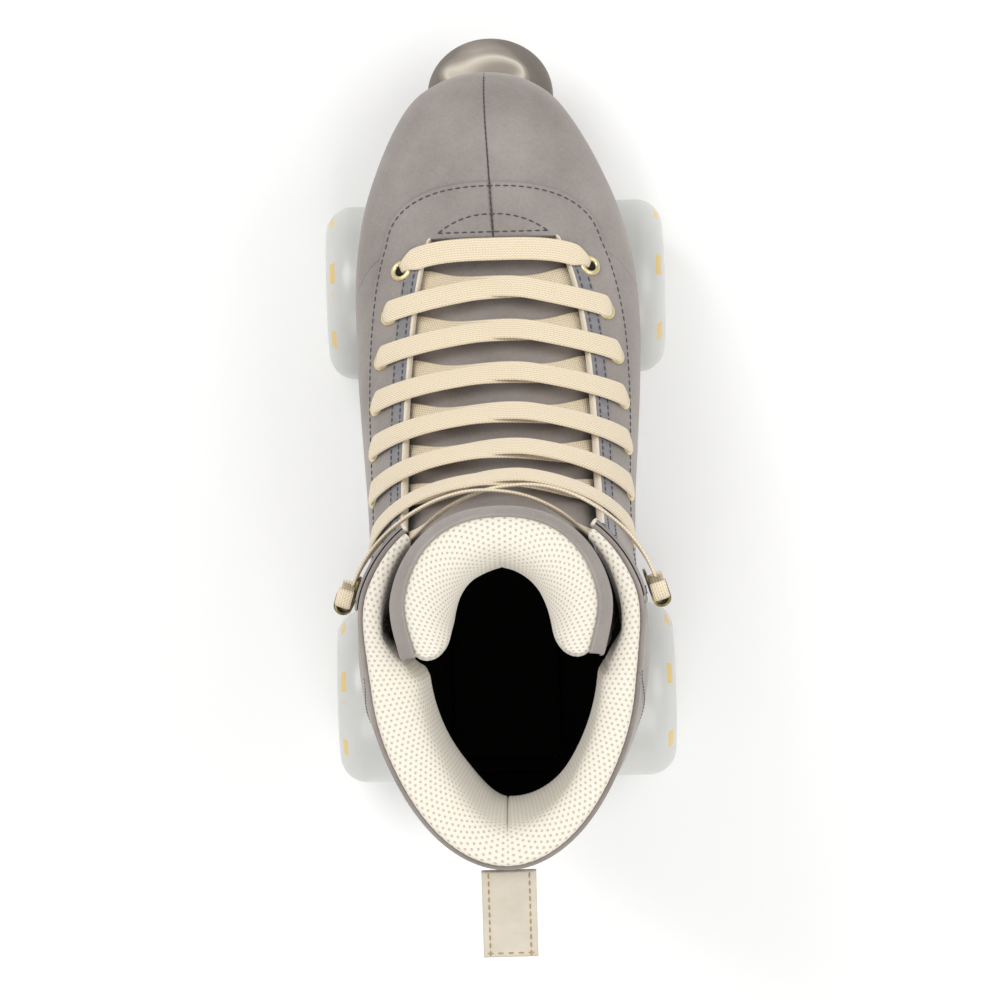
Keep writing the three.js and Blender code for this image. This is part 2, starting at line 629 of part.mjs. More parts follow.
const BOARD_LIFT = 2.4;       // the board rests on the turned-in margin of the upper
const footShift = (y) => -2.2 * smooth((y - 80) / 70);

function soleSlab(front, rear, low, high, ratio, along = 16, across = 2) {
  const at = (height) => (a, b) => {
    const ease = (1 - Math.cos(Math.PI * a)) / 2;
    const y = mix(front, rear, ease);
    return V(footShift(y) + (2 * b - 1) * soleHalf(y) * ratio, y, height(y));
  };
  return sheet(at(high), at(low), along, across);
}

const soleTop = (y) => undersideZ(y) - GAP;
const soleLow = (y) => soleTop(y) - OUTSOLE_T;
const boardLow = (y) => undersideZ(y) + LEATHER + BOARD_LIFT;
const footbedLow = (y) => boardLow(y) + BOARD_T + GAP;

function boltHoles() {
  return BOLTS.map((bolt) => toSolid(rod(bolt.clone().setZ(60), bolt.clone().setZ(125), BOLT_R + GAP, 8)));
}

function plateBolt(place) {
  const low = PLATE_TOP - PLATE_T - GAP;
  const top = boardLow(place.y) + BOARD_T - GAP;
  const shank = rod(place.clone().setZ(low - 1), place.clone().setZ(top), BOLT_R, 8);
  const head = rod(place.clone().setZ(low - BOLT_HEAD_H), place.clone().setZ(low), BOLT_HEAD_R, 12);
  return toSolid(shank).add(toSolid(head));
}

// ---------------------------------------------------------------- tongue and lining
const TONGUE_LEATHER = 1.5;
const LACE_ROOM = LEATHER + LACE_T + 2.2;
const U_TONGUE_ROOT = 5.95;
const tongueHalf = (u) => mix(0.22, 0.47, smooth((u - 7) / 9));

function tongueOffset(u, t) {
  const root = smooth((u - U_TONGUE_ROOT - 0.3) / 0.5);
  const open = smooth((u - 13) / 4);
  return -mix(LEATHER + SOFT_GAP, LACE_ROOM, root) - open * 8.2 * (Math.abs(t) / 0.5) ** 1.5;
}

// The tongue's top edge drops from the centre to its two ends.
const tongueMap = (a, b) => {
  const across = 2 * b - 1;
  const top = U_TONGUE - 0.5 * across ** 2;
  const u = mix(U_TONGUE_ROOT, top, a);
  return [u, across * tongueHalf(u)];
};

function tongue() {
  return layer(tongueMap, (a, b, u, t) => tongueOffset(u, t),
    (a, b, u, t) => tongueOffset(u, t) - TONGUE_LEATHER, 14, 8);
}

function tonguePadding() {
  const under = (u, t) => tongueOffset(u, t) - TONGUE_LEATHER - GAP;
  return layer(tongueMap, (a, b, u, t) => under(u, t),
    (a, b, u, t) => under(u, t) - mix(4, 15.5, smooth((u - 14) / 6)), 14, 8);
}

// Padded collar and heel lining: from one front corner of the shaft round the back to the other.
function collarThickness(u, turn) {
  const t = turn > 1 ? 2 - turn : turn;
  const front = mix(2.6, 5.2, smooth((t - 0.2) / 0.2));
  const fullness = mix(1, turn > 1 ? 1.2 : 0.8, smooth((1 - t) / 0.25));
  const ankle = fullness * (mix(3, 15, smooth((u - 15.6) / 3.4)) - 3 * smooth((u - 19.6) / 1.4));
  return mix(front, Math.max(front, ankle), smooth((t - 0.47) / 0.13));
}

function collarLining() {
  const top = -LEATHER - SOFT_GAP;
  return layer((a, b) => {
    const side = b < 0.5 ? 1 : -1;
    const around = Math.abs(1 - 2 * b);
    const u = mix(U_HEEL + 0.35, U_TOP + 0.4, a);
    const t = mix(1, tGap(u) + 0.006, around);
    return [u, side > 0 ? t : 2 - t];
  }, top, (a, b, u, turn) => top - collarThickness(u, turn), 7, 24);
}

const T_LINING = 0.62;        // the foot lining ends above the footbed
function sideLining(side) {
  const upper = (a) => mix(0.34, 0.43, smooth(a * 2));
  return layer((a, b) => [mix(5.95, U_HEEL + 0.15, a), side * mix(upper(a), T_LINING, b)],
    -LEATHER - 1.8 * SOFT_GAP, -LEATHER - 1.8 * SOFT_GAP - LINING, 14, 5);
}

function toeLining() {
  return layer((a, b) => [mix(0.9, 5.85, a), mix(-T_LINING, T_LINING, b)],
    -LEATHER - 1.2 * SOFT_GAP, -LEATHER - 1.2 * SOFT_GAP - LINING, 6, 12);
}

// ---------------------------------------------------------------- lace, hooks and pull tab
const HOOK_U = 19.3;
const HOOK_T = 0.385;
const OVER = OVERLAY_LIFT + OVERLAY + 1.1;       // lace underside where it lies on the facing
const UNDER = -LEATHER - 0.8 - LACE_T;           // lace underside where it runs beneath the facing
const HOOK_SEAT = OVERLAY_LIFT + OVERLAY + GAP;
const HOOK_FOOT = 1;

// A flat strand from place p to place q, given as [u, signed t], with its height along the way.
function strand(p, q, height, steps = 7) {
  const at = (f, lift) => {
    const u = mix(p[0], q[0], f);
    const x = mix(p[1], q[1], f);
    return skin(u, x, height(f) + lift).point;
  };
  const edge = (f, b, lift) => {
    const here = at(f, lift);
    const way = at(Math.min(1, f + 0.02), lift).sub(at(Math.max(0, f - 0.02), lift)).normalize();
    const u = mix(p[0], q[0], f);
    const { normal } = skin(u, mix(p[1], q[1], f));
    const across = normal.clone().cross(way).normalize();
    return here.addScaledVector(across, (b - 0.5) * LACE_W * mix(0.45, 1, smooth(Math.min(f, 1 - f) * 7)));
  };
  return toSolid(sheet((f, b) => edge(f, b, LACE_T), (f, b) => edge(f, b, 0), steps, 1));
}

function laceStem({ u, t }, side) {
  const { point, normal } = skin(u, side * t);
  const low = point.clone().addScaledVector(normal, UNDER + 0.2);
  const high = point.clone().addScaledVector(normal, OVER + LACE_T - 0.2);
  return toSolid(rod(low, high, 1.7, 6));
}

function lace() {
  const solids = [];
  const first = EYELETS[0];
  solids.push(strand([first.u, -first.t], [first.u, first.t], () => OVER, 8));
  for (const side of [-1, 1]) {
    EYELETS.forEach((eye) => solids.push(laceStem(eye, side)));
    for (let row = 0; row < EYELETS.length; row++) {
      const from = EYELETS[row];
      const to = EYELETS[row + 1] ?? { u: HOOK_U, t: HOOK_T };
      const end = EYELETS[row + 1] ? OVER : HOOK_SEAT + HOOK_FOOT + 1.4;
      const height = (f) => mix(UNDER, end, smooth((f - 0.22) / 0.4));
      solids.push(strand([from.u, side * from.t], [to.u, -side * to.t], height));
    }
  }
  return joined(solids);
}

// A speed hook: a riveted foot whose end curls out and back over the lace.
function hook(side) {
  const profile = new THREE.Shape();
  profile.moveTo(-5, 0);
  profile.lineTo(5, 0);
  profile.absarc(5, 3.2, 3.2, -Math.PI / 2, Math.PI / 2, false);
  profile.lineTo(1, 6.4);
  profile.lineTo(1, 5.4);
  profile.lineTo(5, 5.4);
  profile.absarc(5, 3.2, 2.2, Math.PI / 2, -Math.PI / 2, true);
  profile.lineTo(-5, 1);
  profile.closePath();
  const geometry = new THREE.ExtrudeGeometry(profile, { depth: 6, bevelEnabled: false, curveSegments: 5 });
  geometry.translate(0, 0, -3);
  const { point, normal } = skin(HOOK_U, side * HOOK_T, HOOK_SEAT);
  const back = skin(HOOK_U, side * (HOOK_T + 0.02)).point.sub(skin(HOOK_U, side * HOOK_T).point);
  back.addScaledVector(normal, -back.dot(normal)).normalize();
  const third = back.clone().cross(normal).normalize();
  geometry.applyMatrix4(new THREE.Matrix4().makeBasis(back, normal, third));
  return geometry.translate(point.x, point.y, point.z);
}

const TAB_ROOT = skin(U_TOP - 0.35, 1, GAP).point;
const TAB_DROOP = THREE.MathUtils.degToRad(18);

function pullTab() {
  const profile = new THREE.Shape();
  profile.moveTo(0, 0);
  profile.lineTo(0, TAB_T);
  profile.lineTo(-TAB_L, TAB_T);
  profile.absarc(-TAB_L, TAB_T / 2, TAB_T / 2, Math.PI / 2, 1.5 * Math.PI, false);
  profile.closePath();
  const settings = { depth: TAB_W, bevelEnabled: false, curveSegments: 4 };
  const geometry = new THREE.ExtrudeGeometry(profile, settings);
  geometry.translate(0, 0, -TAB_W / 2);
  geometry.applyMatrix4(new THREE.Matrix4().makeBasis(V(0, 1, 0), V(0, 0, 1), V(1, 0, 0)));
  geometry.rotateX(TAB_DROOP);
  return geometry.translate(TAB_ROOT.x, TAB_ROOT.y - 0.6, TAB_ROOT.z);
}

// ---------------------------------------------------------------- assembly
truck('front', FRONT_AXLE_Y, 1);
truck('rear', FRONT_AXLE_Y - WHEELBASE, -1);
part('plate', plate(), NYLON);
part('toe_stop', toeStop(), STOPPER);
part('toe_stop_stem', toeStopStem(), STEEL);
part('toe_stop_nut',
  hexNut(onStop(STOP_T + 2 * GAP), STOP_AXIS, STOP_NUT_FLATS, STOP_NUT_H, STEM_R + GAP), STEEL);

const holes = boltHoles();
part('outsole', cutBy(toSolid(soleSlab(SOLE_FRONT, SOLE_REAR, soleLow, soleTop, 1)), holes), SOLE);
part('heel_block', cutBy(toSolid(soleSlab(-32, SOLE_REAR + 2, () => PLATE_TOP + GAP,
  (y) => soleLow(y) - 2 * GAP, 0.94, 12)), holes), SOLE);
part('insole_board', cutBy(toSolid(soleSlab(138, -98, boardLow, (y) => boardLow(y) + BOARD_T, 0.52)), holes),
  STRAP);
part('footbed', soleSlab(138, -93, footbedLow, (y) => footbedLow(y) + FOOTBED_T, 0.6), MESH);
BOLTS.forEach((place) => {
  const row = place.y > 0 ? 'front' : 'rear';
  const label = place.x > 0 ? 'lateral' : 'medial';
  part(`plate_bolt_${row}_${label}`, plateBolt(place), STEEL);
});

for (const side of [-1, 1]) {
  const label = side > 0 ? 'lateral' : 'medial';
  part(`vamp_${label}`, vamp(side), TAUPE);
  part(`quarter_${label}`, cutBy(toSolid(quarter(side)), eyeletHoles(side)), TAUPE);
  part(`eyestay_${label}`, cutBy(toSolid(eyestay(side)), eyeletHoles(side)), TAUPE);
  part(`lining_${label}`, sideLining(side), MESH);
  part(`lace_hook_${label}`, hook(side), BRASS);
}
part('heel_counter', heelCounter(), TAUPE);
part('toe_lining', toeLining(), MESH);
part('collar_lining', collarLining(), MESH);
part('tongue', tongue(), DEEP_TAUPE);
part('tongue_padding', tonguePadding(), MESH);
part('lace', lace(), CORD);
part('pull_tab', pullTab(), STRAP);

// The origin lies on the ground, under the middle of the whole skate.
const bounds = new THREE.Box3().setFromObject(skate);
const middle = bounds.getCenter(V());
skate.position.set(-middle.x, -middle.y, -bounds.min.z);

export default skate;
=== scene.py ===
# Quad roller skate for a right foot: a high lace-up boot on a plate with two steering trucks.
# Sizes in this file are millimetres on the boot's own axes, and pieces are placed in metres:
# +Y to the toe, +X to the outer side of the foot, +Z up from the ground.
import json
import math

import bmesh
import bpy
import numpy as np
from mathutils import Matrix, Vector


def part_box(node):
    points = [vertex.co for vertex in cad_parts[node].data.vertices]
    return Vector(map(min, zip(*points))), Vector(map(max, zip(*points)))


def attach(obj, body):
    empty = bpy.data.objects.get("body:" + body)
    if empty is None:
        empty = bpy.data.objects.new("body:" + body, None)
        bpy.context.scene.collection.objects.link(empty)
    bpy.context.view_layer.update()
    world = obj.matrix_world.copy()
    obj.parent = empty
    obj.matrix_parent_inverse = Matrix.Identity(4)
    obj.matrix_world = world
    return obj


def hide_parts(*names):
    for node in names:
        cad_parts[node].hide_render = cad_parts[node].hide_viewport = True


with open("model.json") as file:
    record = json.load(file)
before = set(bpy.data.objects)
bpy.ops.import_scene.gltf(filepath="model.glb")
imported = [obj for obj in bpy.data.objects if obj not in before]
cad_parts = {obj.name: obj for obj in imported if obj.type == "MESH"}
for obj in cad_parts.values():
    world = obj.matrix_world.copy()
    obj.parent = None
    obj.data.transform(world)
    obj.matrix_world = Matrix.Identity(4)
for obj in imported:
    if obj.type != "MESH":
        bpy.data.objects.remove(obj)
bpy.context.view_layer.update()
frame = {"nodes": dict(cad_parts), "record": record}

# ---------------------------------------------------------------- studio
# A white paper sweep under broad soft lamps, seen from straight above with a long lens, the toe
# leaning a little to the left.
def to_linear(code):
    """sRGB hex to linear RGBA."""
    parts = [int(code[i:i + 2], 16) / 255 for i in (1, 3, 5)]
    return [c / 12.92 if c <= 0.04045 else ((c + 0.055) / 1.055) ** 2.4 for c in parts] + [1.0]


def add(tree, kind, inputs=None, **settings):
    """A node with its settings; an input is a value or another node's output."""
    node = tree.nodes.new(kind)
    for key, value in settings.items():
        setattr(node, key, value)
    for key, value in (inputs or {}).items():
        if isinstance(value, bpy.types.NodeSocket):
            tree.links.new(value, node.inputs[key])
        else:
            node.inputs[key].default_value = value
    return node


def new_material(name, **shader):
    """An empty material with a Principled shader; values go on the shader's own sockets."""
    material = bpy.data.materials.new(name)
    material.use_nodes = True
    tree = material.node_tree
    surface = next(n for n in tree.nodes if n.type == "BSDF_PRINCIPLED")
    for key, value in shader.items():
        surface.inputs[key.replace("_", " ")].default_value = value
    return material, tree, surface


scene = bpy.context.scene
scene.view_settings.view_transform = "Standard"

bpy.ops.mesh.primitive_plane_add(size=6, location=(0, 0, -0.0002))
sweep = bpy.context.object
sweep.name = "paper_sweep"
paper, tree, surface = new_material("white_paper", Roughness=0.9)
surface.inputs["Base Color"].default_value = to_linear("#f8f8f7")
sweep.data.materials.append(paper)

for name, place, size, power in (
    ("key", (-0.9, 0.9, 1.9), 1.1, 20),
    ("fill", (1.1, 0.2, 1.7), 1.3, 12),
    ("back", (0.1, -1.3, 1.6), 1.2, 11),
):
    lamp = bpy.data.lights.new(name, "AREA")
    lamp.size, lamp.energy = size, power
    stand = bpy.data.objects.new(name, lamp)
    stand.location = place
    stand.rotation_euler = (Vector((0, 0, 0.1)) - Vector(place)).to_track_quat("-Z", "Y").to_euler()
    scene.collection.objects.link(stand)
sky = scene.world or bpy.data.worlds.new("studio_air")
scene.world = sky
sky.use_nodes = True
sky.node_tree.nodes["Background"].inputs["Color"].default_value = (1, 1, 1, 1)
sky.node_tree.nodes["Background"].inputs["Strength"].default_value = 0.62

lens = bpy.data.cameras.new("studio_camera")
lens.sensor_width, lens.lens = 36, 187.7
camera = bpy.data.objects.new("studio_camera", lens)
camera.location = (-0.0006, -0.0092, 2.0)
camera.rotation_euler = (0, 0, math.radians(-1.6))
scene.collection.objects.link(camera)
scene.camera = camera

# ---------------------------------------------------------------- the last
# The boot is closed round a foot shape. It is kept as sections that fan from upright across the
# toes to level at the top of the shaft: front y z, back y z, half width, where the widest place
# lies, roundness of back and front, taper of the back, and shift to the outer side.
SECTIONS = np.array([
    [156.0, 100, 156.0, 98, 0.05, 0.50, 2.0, 2.0, 0.00, -2.0],
    [154.6, 112, 154.8, 88.5, 10, 0.45, 2.4, 2.2, 0.00, -2.1],
    [151.0, 119, 151.5, 86, 18.5, 0.42, 2.8, 2.3, 0.02, -2.3],
    [145.0, 126, 146.0, 85, 26, 0.42, 3.0, 2.3, 0.04, -2.4],
    [135.0, 131.5, 136.0, 85, 33, 0.42, 3.2, 2.3, 0.06, -2.2],
    [121.0, 135.5, 122.0, 85, 40, 0.42, 3.2, 2.3, 0.08, -1.6],
    [104.0, 139.5, 105.0, 85, 46.3, 0.42, 3.2, 2.3, 0.10, -0.9],
    [84.0, 146, 85.0, 85.5, 50.3, 0.42, 3.2, 2.25, 0.10, 0.0],
    [63.0, 158.5, 62.0, 87, 51.3, 0.42, 3.0, 2.2, 0.12, 0.5],
    [43.0, 175, 38.0, 90, 50.5, 0.42, 3.0, 2.15, 0.15, 0.4],
    [26.0, 192, 13.0, 94.5, 49, 0.43, 3.2, 2.15, 0.20, 0.2],
    [13.0, 208, -13.0, 100, 47.5, 0.45, 3.5, 2.15, 0.25, 0.0],
    [5.0, 221, -40.0, 105.5, 46.8, 0.47, 3.8, 2.15, 0.30, 0.0],
    [1.5, 232, -67.0, 110, 46.8, 0.50, 4.0, 2.2, 0.32, 0.0],
    [0.0, 239.5, -93.0, 112, 47.2, 0.55, 3.6, 2.2, 0.32, 0.0],
    [0.0, 245, -113.0, 116, 47.6, 0.58, 2.7, 2.2, 0.26, 0.0],
    [0.0, 249, -124.0, 131, 48, 0.60, 2.2, 2.2, 0.16, 0.0],
    [0.0, 252, -127.0, 152, 48.5, 0.60, 2.0, 2.25, 0.08, 0.0],
    [0.0, 254.5, -125.5, 176, 49, 0.59, 1.9, 2.25, 0.03, -0.3],
    [0.0, 256.5, -122.0, 201, 49.5, 0.58, 1.9, 2.3, 0.00, -0.6],
    [0.5, 258.5, -121.5, 228, 50, 0.56, 1.95, 2.3, 0.00, -0.9],
    [1.0, 261, -124.0, 255, 50.5, 0.55, 1.95, 2.3, 0.00, -1.2],
    [2.5, 270, -124.0, 266, 50.5, 0.55, 1.95, 2.3, 0.00, -1.2],
    [5.0, 281, -124.0, 278, 50.5, 0.55, 1.95, 2.3, 0.00, -1.2],
])
FRONT_AXLE_Y = 79.5
WHEELBASE = 152.0
low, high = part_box("front_axle")
SHIFT = np.array([0.0, (low.y + high.y) * 500 - FRONT_AXLE_Y, 0.0])


def mix(a, b, f):
    return a + (b - a) * f


def smooth(f):
    f = np.clip(f, 0, 1)
    return f * f * (3 - 2 * f)


def section_at(u):
    u = np.asarray(u, float)
    last = len(SECTIONS) - 1
    i = np.clip(np.floor(u).astype(int), 0, last - 1)
    f = (u - i)[..., None]
    p0, p1, p2, p3 = (SECTIONS[np.clip(i + k, 0, last)] for k in (-1, 0, 1, 2))
    return 0.5 * (2 * p1 + (p2 - p0) * f + (2 * p0 - 5 * p1 + 4 * p2 - p3) * f ** 2
                  + (3 * p1 - p0 - 3 * p2 + p3) * f ** 3)


def on_last(u, t):
    """t runs round a section: 0 on top of the foot, 1 under it, positive to the outer side."""
    u, t = np.broadcast_arrays(np.asarray(u, float), np.asarray(t, float))
    t = np.where(t > 1, t - 2, t)
    fy, fz, by, bz, half, middle, back, front, taper, shift = np.moveaxis(section_at(u), -1, 0)
    around = np.abs(t)
    upper = around <= 0.5
    angle = np.pi * np.where(upper, around, 1 - around)
    power = 2 / np.where(upper, front, back)
    wide = np.maximum(np.sin(angle), 0) ** power
    deep = np.maximum(np.cos(angle), 0) ** power
    along = np.where(upper, middle + (1 - middle) * deep, middle * (1 - deep))
    x = half * wide * np.where(upper, 1, 1 - taper * deep ** 1.5)
    return np.stack([shift + np.sign(t) * x, mix(by, fy, along), mix(bz, fz, along)], -1)


PULLED_IN = 4.2


def skin(u, t, offset=0.0):
    """A point standing off the last by `offset`, and the direction straight out there."""
    u, t = np.broadcast_arrays(np.asarray(u, float), np.asarray(t, float))
    point = on_last(u, t)
    along = on_last(np.minimum(u + 0.03, 23), t) - on_last(np.maximum(u - 0.03, 0), t)
    across = on_last(u, t + 0.012) - on_last(u, t - 0.012)
    out = np.cross(along, across)
    out /= np.linalg.norm(out, axis=-1, keepdims=True)
    # The shaft's top edge is pulled in a little by the collar's seam, but not at the heel's tab.
    around = np.abs(np.where(t > 1, t - 2, t))
    pulled = PULLED_IN * smooth((u - 18.8) / 2.2)
    pulled *= smooth((around - 0.36) / 0.18) * smooth((1 - around) / 0.34)
    row = section_at(u)
    middle = (row[..., 0:2] + row[..., 2:4]) / 2
    core = np.concatenate([row[..., 9:10], middle], -1)
    out *= np.where(np.sum(out * (point - core), -1) < 0, -1, 1)[..., None]
    return point + out * (np.asarray(offset) - pulled)[..., None], out


def piece_of(name, points, faces, material, body="boot_and_plate", uv=None, inner=None):
    """A mesh from points in millimetres, riding on a body; `inner` gives chosen faces of a shell's
    inner face a second material, here dark felt as painted shade inside the boot.
    """
    mesh = bpy.data.meshes.new(name)
    mesh.from_pydata(((np.asarray(points, float) + SHIFT) / 1000).tolist(), [], faces)
    if uv is not None:
        layer = mesh.uv_layers.new(name="cloth")
        corners = np.zeros(len(mesh.loops), int)
        mesh.loops.foreach_get("vertex_index", corners)
        layer.data.foreach_set("uv", np.asarray(uv, float)[corners].ravel())
    work = bmesh.new()
    work.from_mesh(mesh)
    bmesh.ops.recalc_face_normals(work, faces=work.faces)
    work.to_mesh(mesh)
    work.free()
    mesh.polygons.foreach_set("use_smooth", [True] * len(mesh.polygons))
    mesh.materials.append(material)
    if inner is not None:
        mesh.materials.append(inner[0])
        for face in mesh.polygons:
            if min(face.vertices) >= len(points) // 2 and inner[1](mesh, face):
                face.material_index = 1
    obj = bpy.data.objects.new(name, mesh)
    scene.collection.objects.link(obj)
    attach(obj, body)
    return obj


def spread(count, length):
    """Places over 0..1 that crowd near both ends, for the rounding of a cut edge."""
    edge = np.array([0, 0.12, 0.35, 0.75, 1.3]) / length
    middle = np.linspace(edge[-1], 1 - edge[-1], count + 1)[1:-1]
    return np.concatenate([edge, middle, 1 - edge[::-1]])


def grid_faces(rows, columns, start=0):
    index = start + np.arange(rows * columns).reshape(rows, columns)
    corners = index[:-1, :-1], index[1:, :-1], index[1:, 1:], index[:-1, 1:]
    return np.stack(corners, -1).reshape(-1, 4)


def closed(outer, inner):
    """Points and faces of two matching grids joined all round their edges."""
    rows, columns = outer.shape[:2]
    count = rows * columns
    faces = [*grid_faces(rows, columns).tolist(),
             *grid_faces(rows, columns, count)[:, ::-1].tolist()]
    ring = [*[(0, j) for j in range(columns)], *[(i, columns - 1) for i in range(1, rows)],
            *[(rows - 1, j) for j in range(columns - 2, -1, -1)],
            *[(i, 0) for i in range(rows - 2, 0, -1)]]
    ring = [i * columns + j for i, j in ring]
    for p, q in zip(ring, ring[1:] + ring[:1]):
        faces.append([p, q, q + count, p + count])
    return np.concatenate([outer.reshape(-1, 3), inner.reshape(-1, 3)]), faces


def shell(surface_map, top, under, size, cells, rounding):
    """Points, faces and cloth UV of a closed sheet between two offsets of the last. `size` is its
    rough length and width in millimetres. `rounding` rolls its outer edges over; a function of
    place rolls both faces, as on a pad."""
    a = spread(cells[0], size[0])[:, None]
    b = spread(cells[1], size[1])[None, :]
    a, b = np.broadcast_arrays(a, b)
    u, t = surface_map(a, b)
    from_edge = np.minimum(np.minimum(a, 1 - a) * size[0], np.minimum(b, 1 - b) * size[1])
    both_sides = callable(rounding)
    rolls = rounding(u, t) if both_sides else (rounding, 1e-3)
    drop, lift = (r * (1 - np.sqrt(1 - (1 - np.clip(from_edge / r, 0, 1)) ** 2)) for r in rolls)
    height_top = top(a, b, u, t) if callable(top) else top
    height_low = under(a, b, u, t) if callable(under) else under
    outer = skin(u, t, height_top - drop)[0]
    inner = skin(u, t, np.broadcast_to(height_low, u.shape) + lift)[0]
    rows, columns = u.shape
    widths = [np.linalg.norm(np.diff(face, axis=1, prepend=face[:, :1]), axis=-1)
              for face in (outer, inner)]
    beside = np.cumsum(np.mean(np.array(widths)[:, rows // 2:], axis=(0, 1)))
    beside = np.broadcast_to(beside - beside[columns // 2], u.shape)
    cloths = []
    for face, way in ((outer, 1), (inner, -1)):
        up = np.cumsum(np.linalg.norm(np.diff(face, axis=0, prepend=face[:1]), axis=-1), axis=0)
        cloths.append(np.stack([beside, way * (up - up[-1:])], -1).reshape(-1, 2) / 1000)
    points, faces = closed(outer, inner)
    return points, faces, np.concatenate(cloths)


# ---------------------------------------------------------------- vamp, quarters, heel counter
# The outer upper: taupe nubuck-finished leather 1.8 mm thick, cut as two vamp halves with a seam
# along the toes, two quarters and a heel counter, butted at flat seams and sewn with dark thread.
HANDS = ((-1, "medial"), (1, "lateral"))
LEATHER = 1.8
U_THROAT, U_OVERLAY, U_TOE, U_HEEL_SEAM, U_HEEL = 6.55, 5.45, 9.0, 13.6, 15.2
T_SIDE_SEAM, U_TOP, U_TONGUE, T_MARGIN = 0.52, 21.0, 22.9, 0.88
SEAM, SEAM_U = 0.0004, 0.001

# Nubuck: leather sanded to a fine nap, so it is matt, faintly cloudy, and lighter at a low angle.
nubuck, tree, surface = new_material(
    "nubuck_leather", Roughness=0.78, Sheen_Weight=0.25, Sheen_Roughness=0.5)
surface.inputs["Sheen Tint"].default_value = to_linear("#d8d2cd")
where = add(tree, "ShaderNodeTexCoord").outputs["Object"]
cloud = add(tree, "ShaderNodeTexNoise",
            {"Vector": where, "Scale": 28, "Detail": 4, "Roughness": 0.6})
nap = add(tree, "ShaderNodeTexNoise", {"Vector": where, "Scale": 900, "Detail": 3})
blend = add(tree, "ShaderNodeMath", {0: cloud.outputs["Fac"], 1: 0.75}, operation="MULTIPLY")
total = add(tree, "ShaderNodeMath", {0: nap.outputs["Fac"], 1: 0.25, 2: blend.outputs[0]},
            operation="MULTIPLY_ADD")
ramp = add(tree, "ShaderNodeValToRGB", {"Fac": total.outputs[0]})
ramp.color_ramp.elements[0].position, ramp.color_ramp.elements[0].color = 0.34, to_linear("#827a75")
ramp.color_ramp.elements[1].position, ramp.color_ramp.elements[1].color = 0.66, to_linear("#9a928d")
tree.links.new(ramp.outputs["Color"], surface.inputs["Base Color"])
pores = add(tree, "ShaderNodeTexVoronoi", {"Vector": where, "Scale": 700})
relief = add(tree, "ShaderNodeMath", {0: pores.outputs["Distance"], 1: 0.5, 2: nap.outputs["Fac"]},
             operation="MULTIPLY_ADD")
bump = add(tree, "ShaderNodeBump",
           {"Height": relief.outputs[0], "Strength": 0.25, "Distance": 0.0003})
tree.links.new(bump.outputs["Normal"], surface.inputs["Normal"])


def t_at_width(u, x):
    row = section_at(u)
    return np.arcsin(np.minimum(1, x / row[..., 4]) ** (row[..., 7] / 2)) / np.pi


def gap_half(u):
    return 33.6 - 10.8 * np.exp(-(u - U_THROAT) / 1.3) - 2 * smooth((u - 15) / 6)


def t_gap(u):
    return t_at_width(u, gap_half(u))


T_CORNER = float(t_gap(np.array(U_THROAT)))


def vamp_map(side):
    def place(a, b):
        turned_under = mix(1 - SEAM, T_MARGIN, smooth((a - 0.18) / 0.2))
        t = mix(SEAM, turned_under, b)
        edge = mix(U_THROAT, U_TOE, smooth((t - T_CORNER) / (T_MARGIN - T_CORNER)))
        return mix(0.05, edge - SEAM_U, a), side * t
    return place


def quarter_map(side):
    def place(a, b):
        row = a * 14
        f = (row - 6) / 8
        seam_u = np.where(row < 6, mix(U_TOE + SEAM_U, U_HEEL_SEAM, row / 6),
                          mix(U_HEEL_SEAM, U_TOP, f))
        seam_t = np.where(row < 6, T_MARGIN, mix(T_MARGIN, T_SIDE_SEAM, np.clip(f, 0, 1)))
        u = mix(U_THROAT + SEAM_U, U_TOP, a)
        across = mix(smooth(b), b, np.clip(a * 3, 0, 1))
        return mix(u, seam_u, across), side * mix(t_gap(u), seam_t, b)
    return place


def counter_map(a, b):
    around = np.abs(1 - 2 * b)
    lower = mix(U_HEEL, U_HEEL_SEAM, np.maximum(0, around - 0.5) * 2)
    t_low = np.where(around > 0.5, T_MARGIN + SEAM, 1 - (1 - T_MARGIN) * around * 2)
    t = mix(t_low, mix(1, T_SIDE_SEAM + SEAM, around), a)
    return mix(lower, U_TOP, a), np.where(b < 0.5, t, 2 - t)


def speckled(name, dark, light, scale, relief=0.0, span=(0, 1), noise=None, **shader):
    """A material of two tones mixed by a fine noise, which may also stand up as relief."""
    material, tree, surface = new_material(name, **shader)
    where = add(tree, "ShaderNodeTexCoord").outputs["Object"]
    grain = add(tree, "ShaderNodeTexNoise", {"Vector": where, "Scale": scale, **(noise or {})})
    ramp = add(tree, "ShaderNodeValToRGB", {"Fac": grain.outputs["Fac"]})
    for element, place, tone in zip(ramp.color_ramp.elements, span, (dark, light)):
        element.position, element.color = place, to_linear(tone)
    tree.links.new(ramp.outputs["Color"], surface.inputs["Base Color"])
    if relief:
        bump = add(tree, "ShaderNodeBump", {"Height": grain.outputs["Fac"], "Strength": relief,
                                            "Distance": 0.0003})
        tree.links.new(bump.outputs["Normal"], surface.inputs["Normal"])
    return material
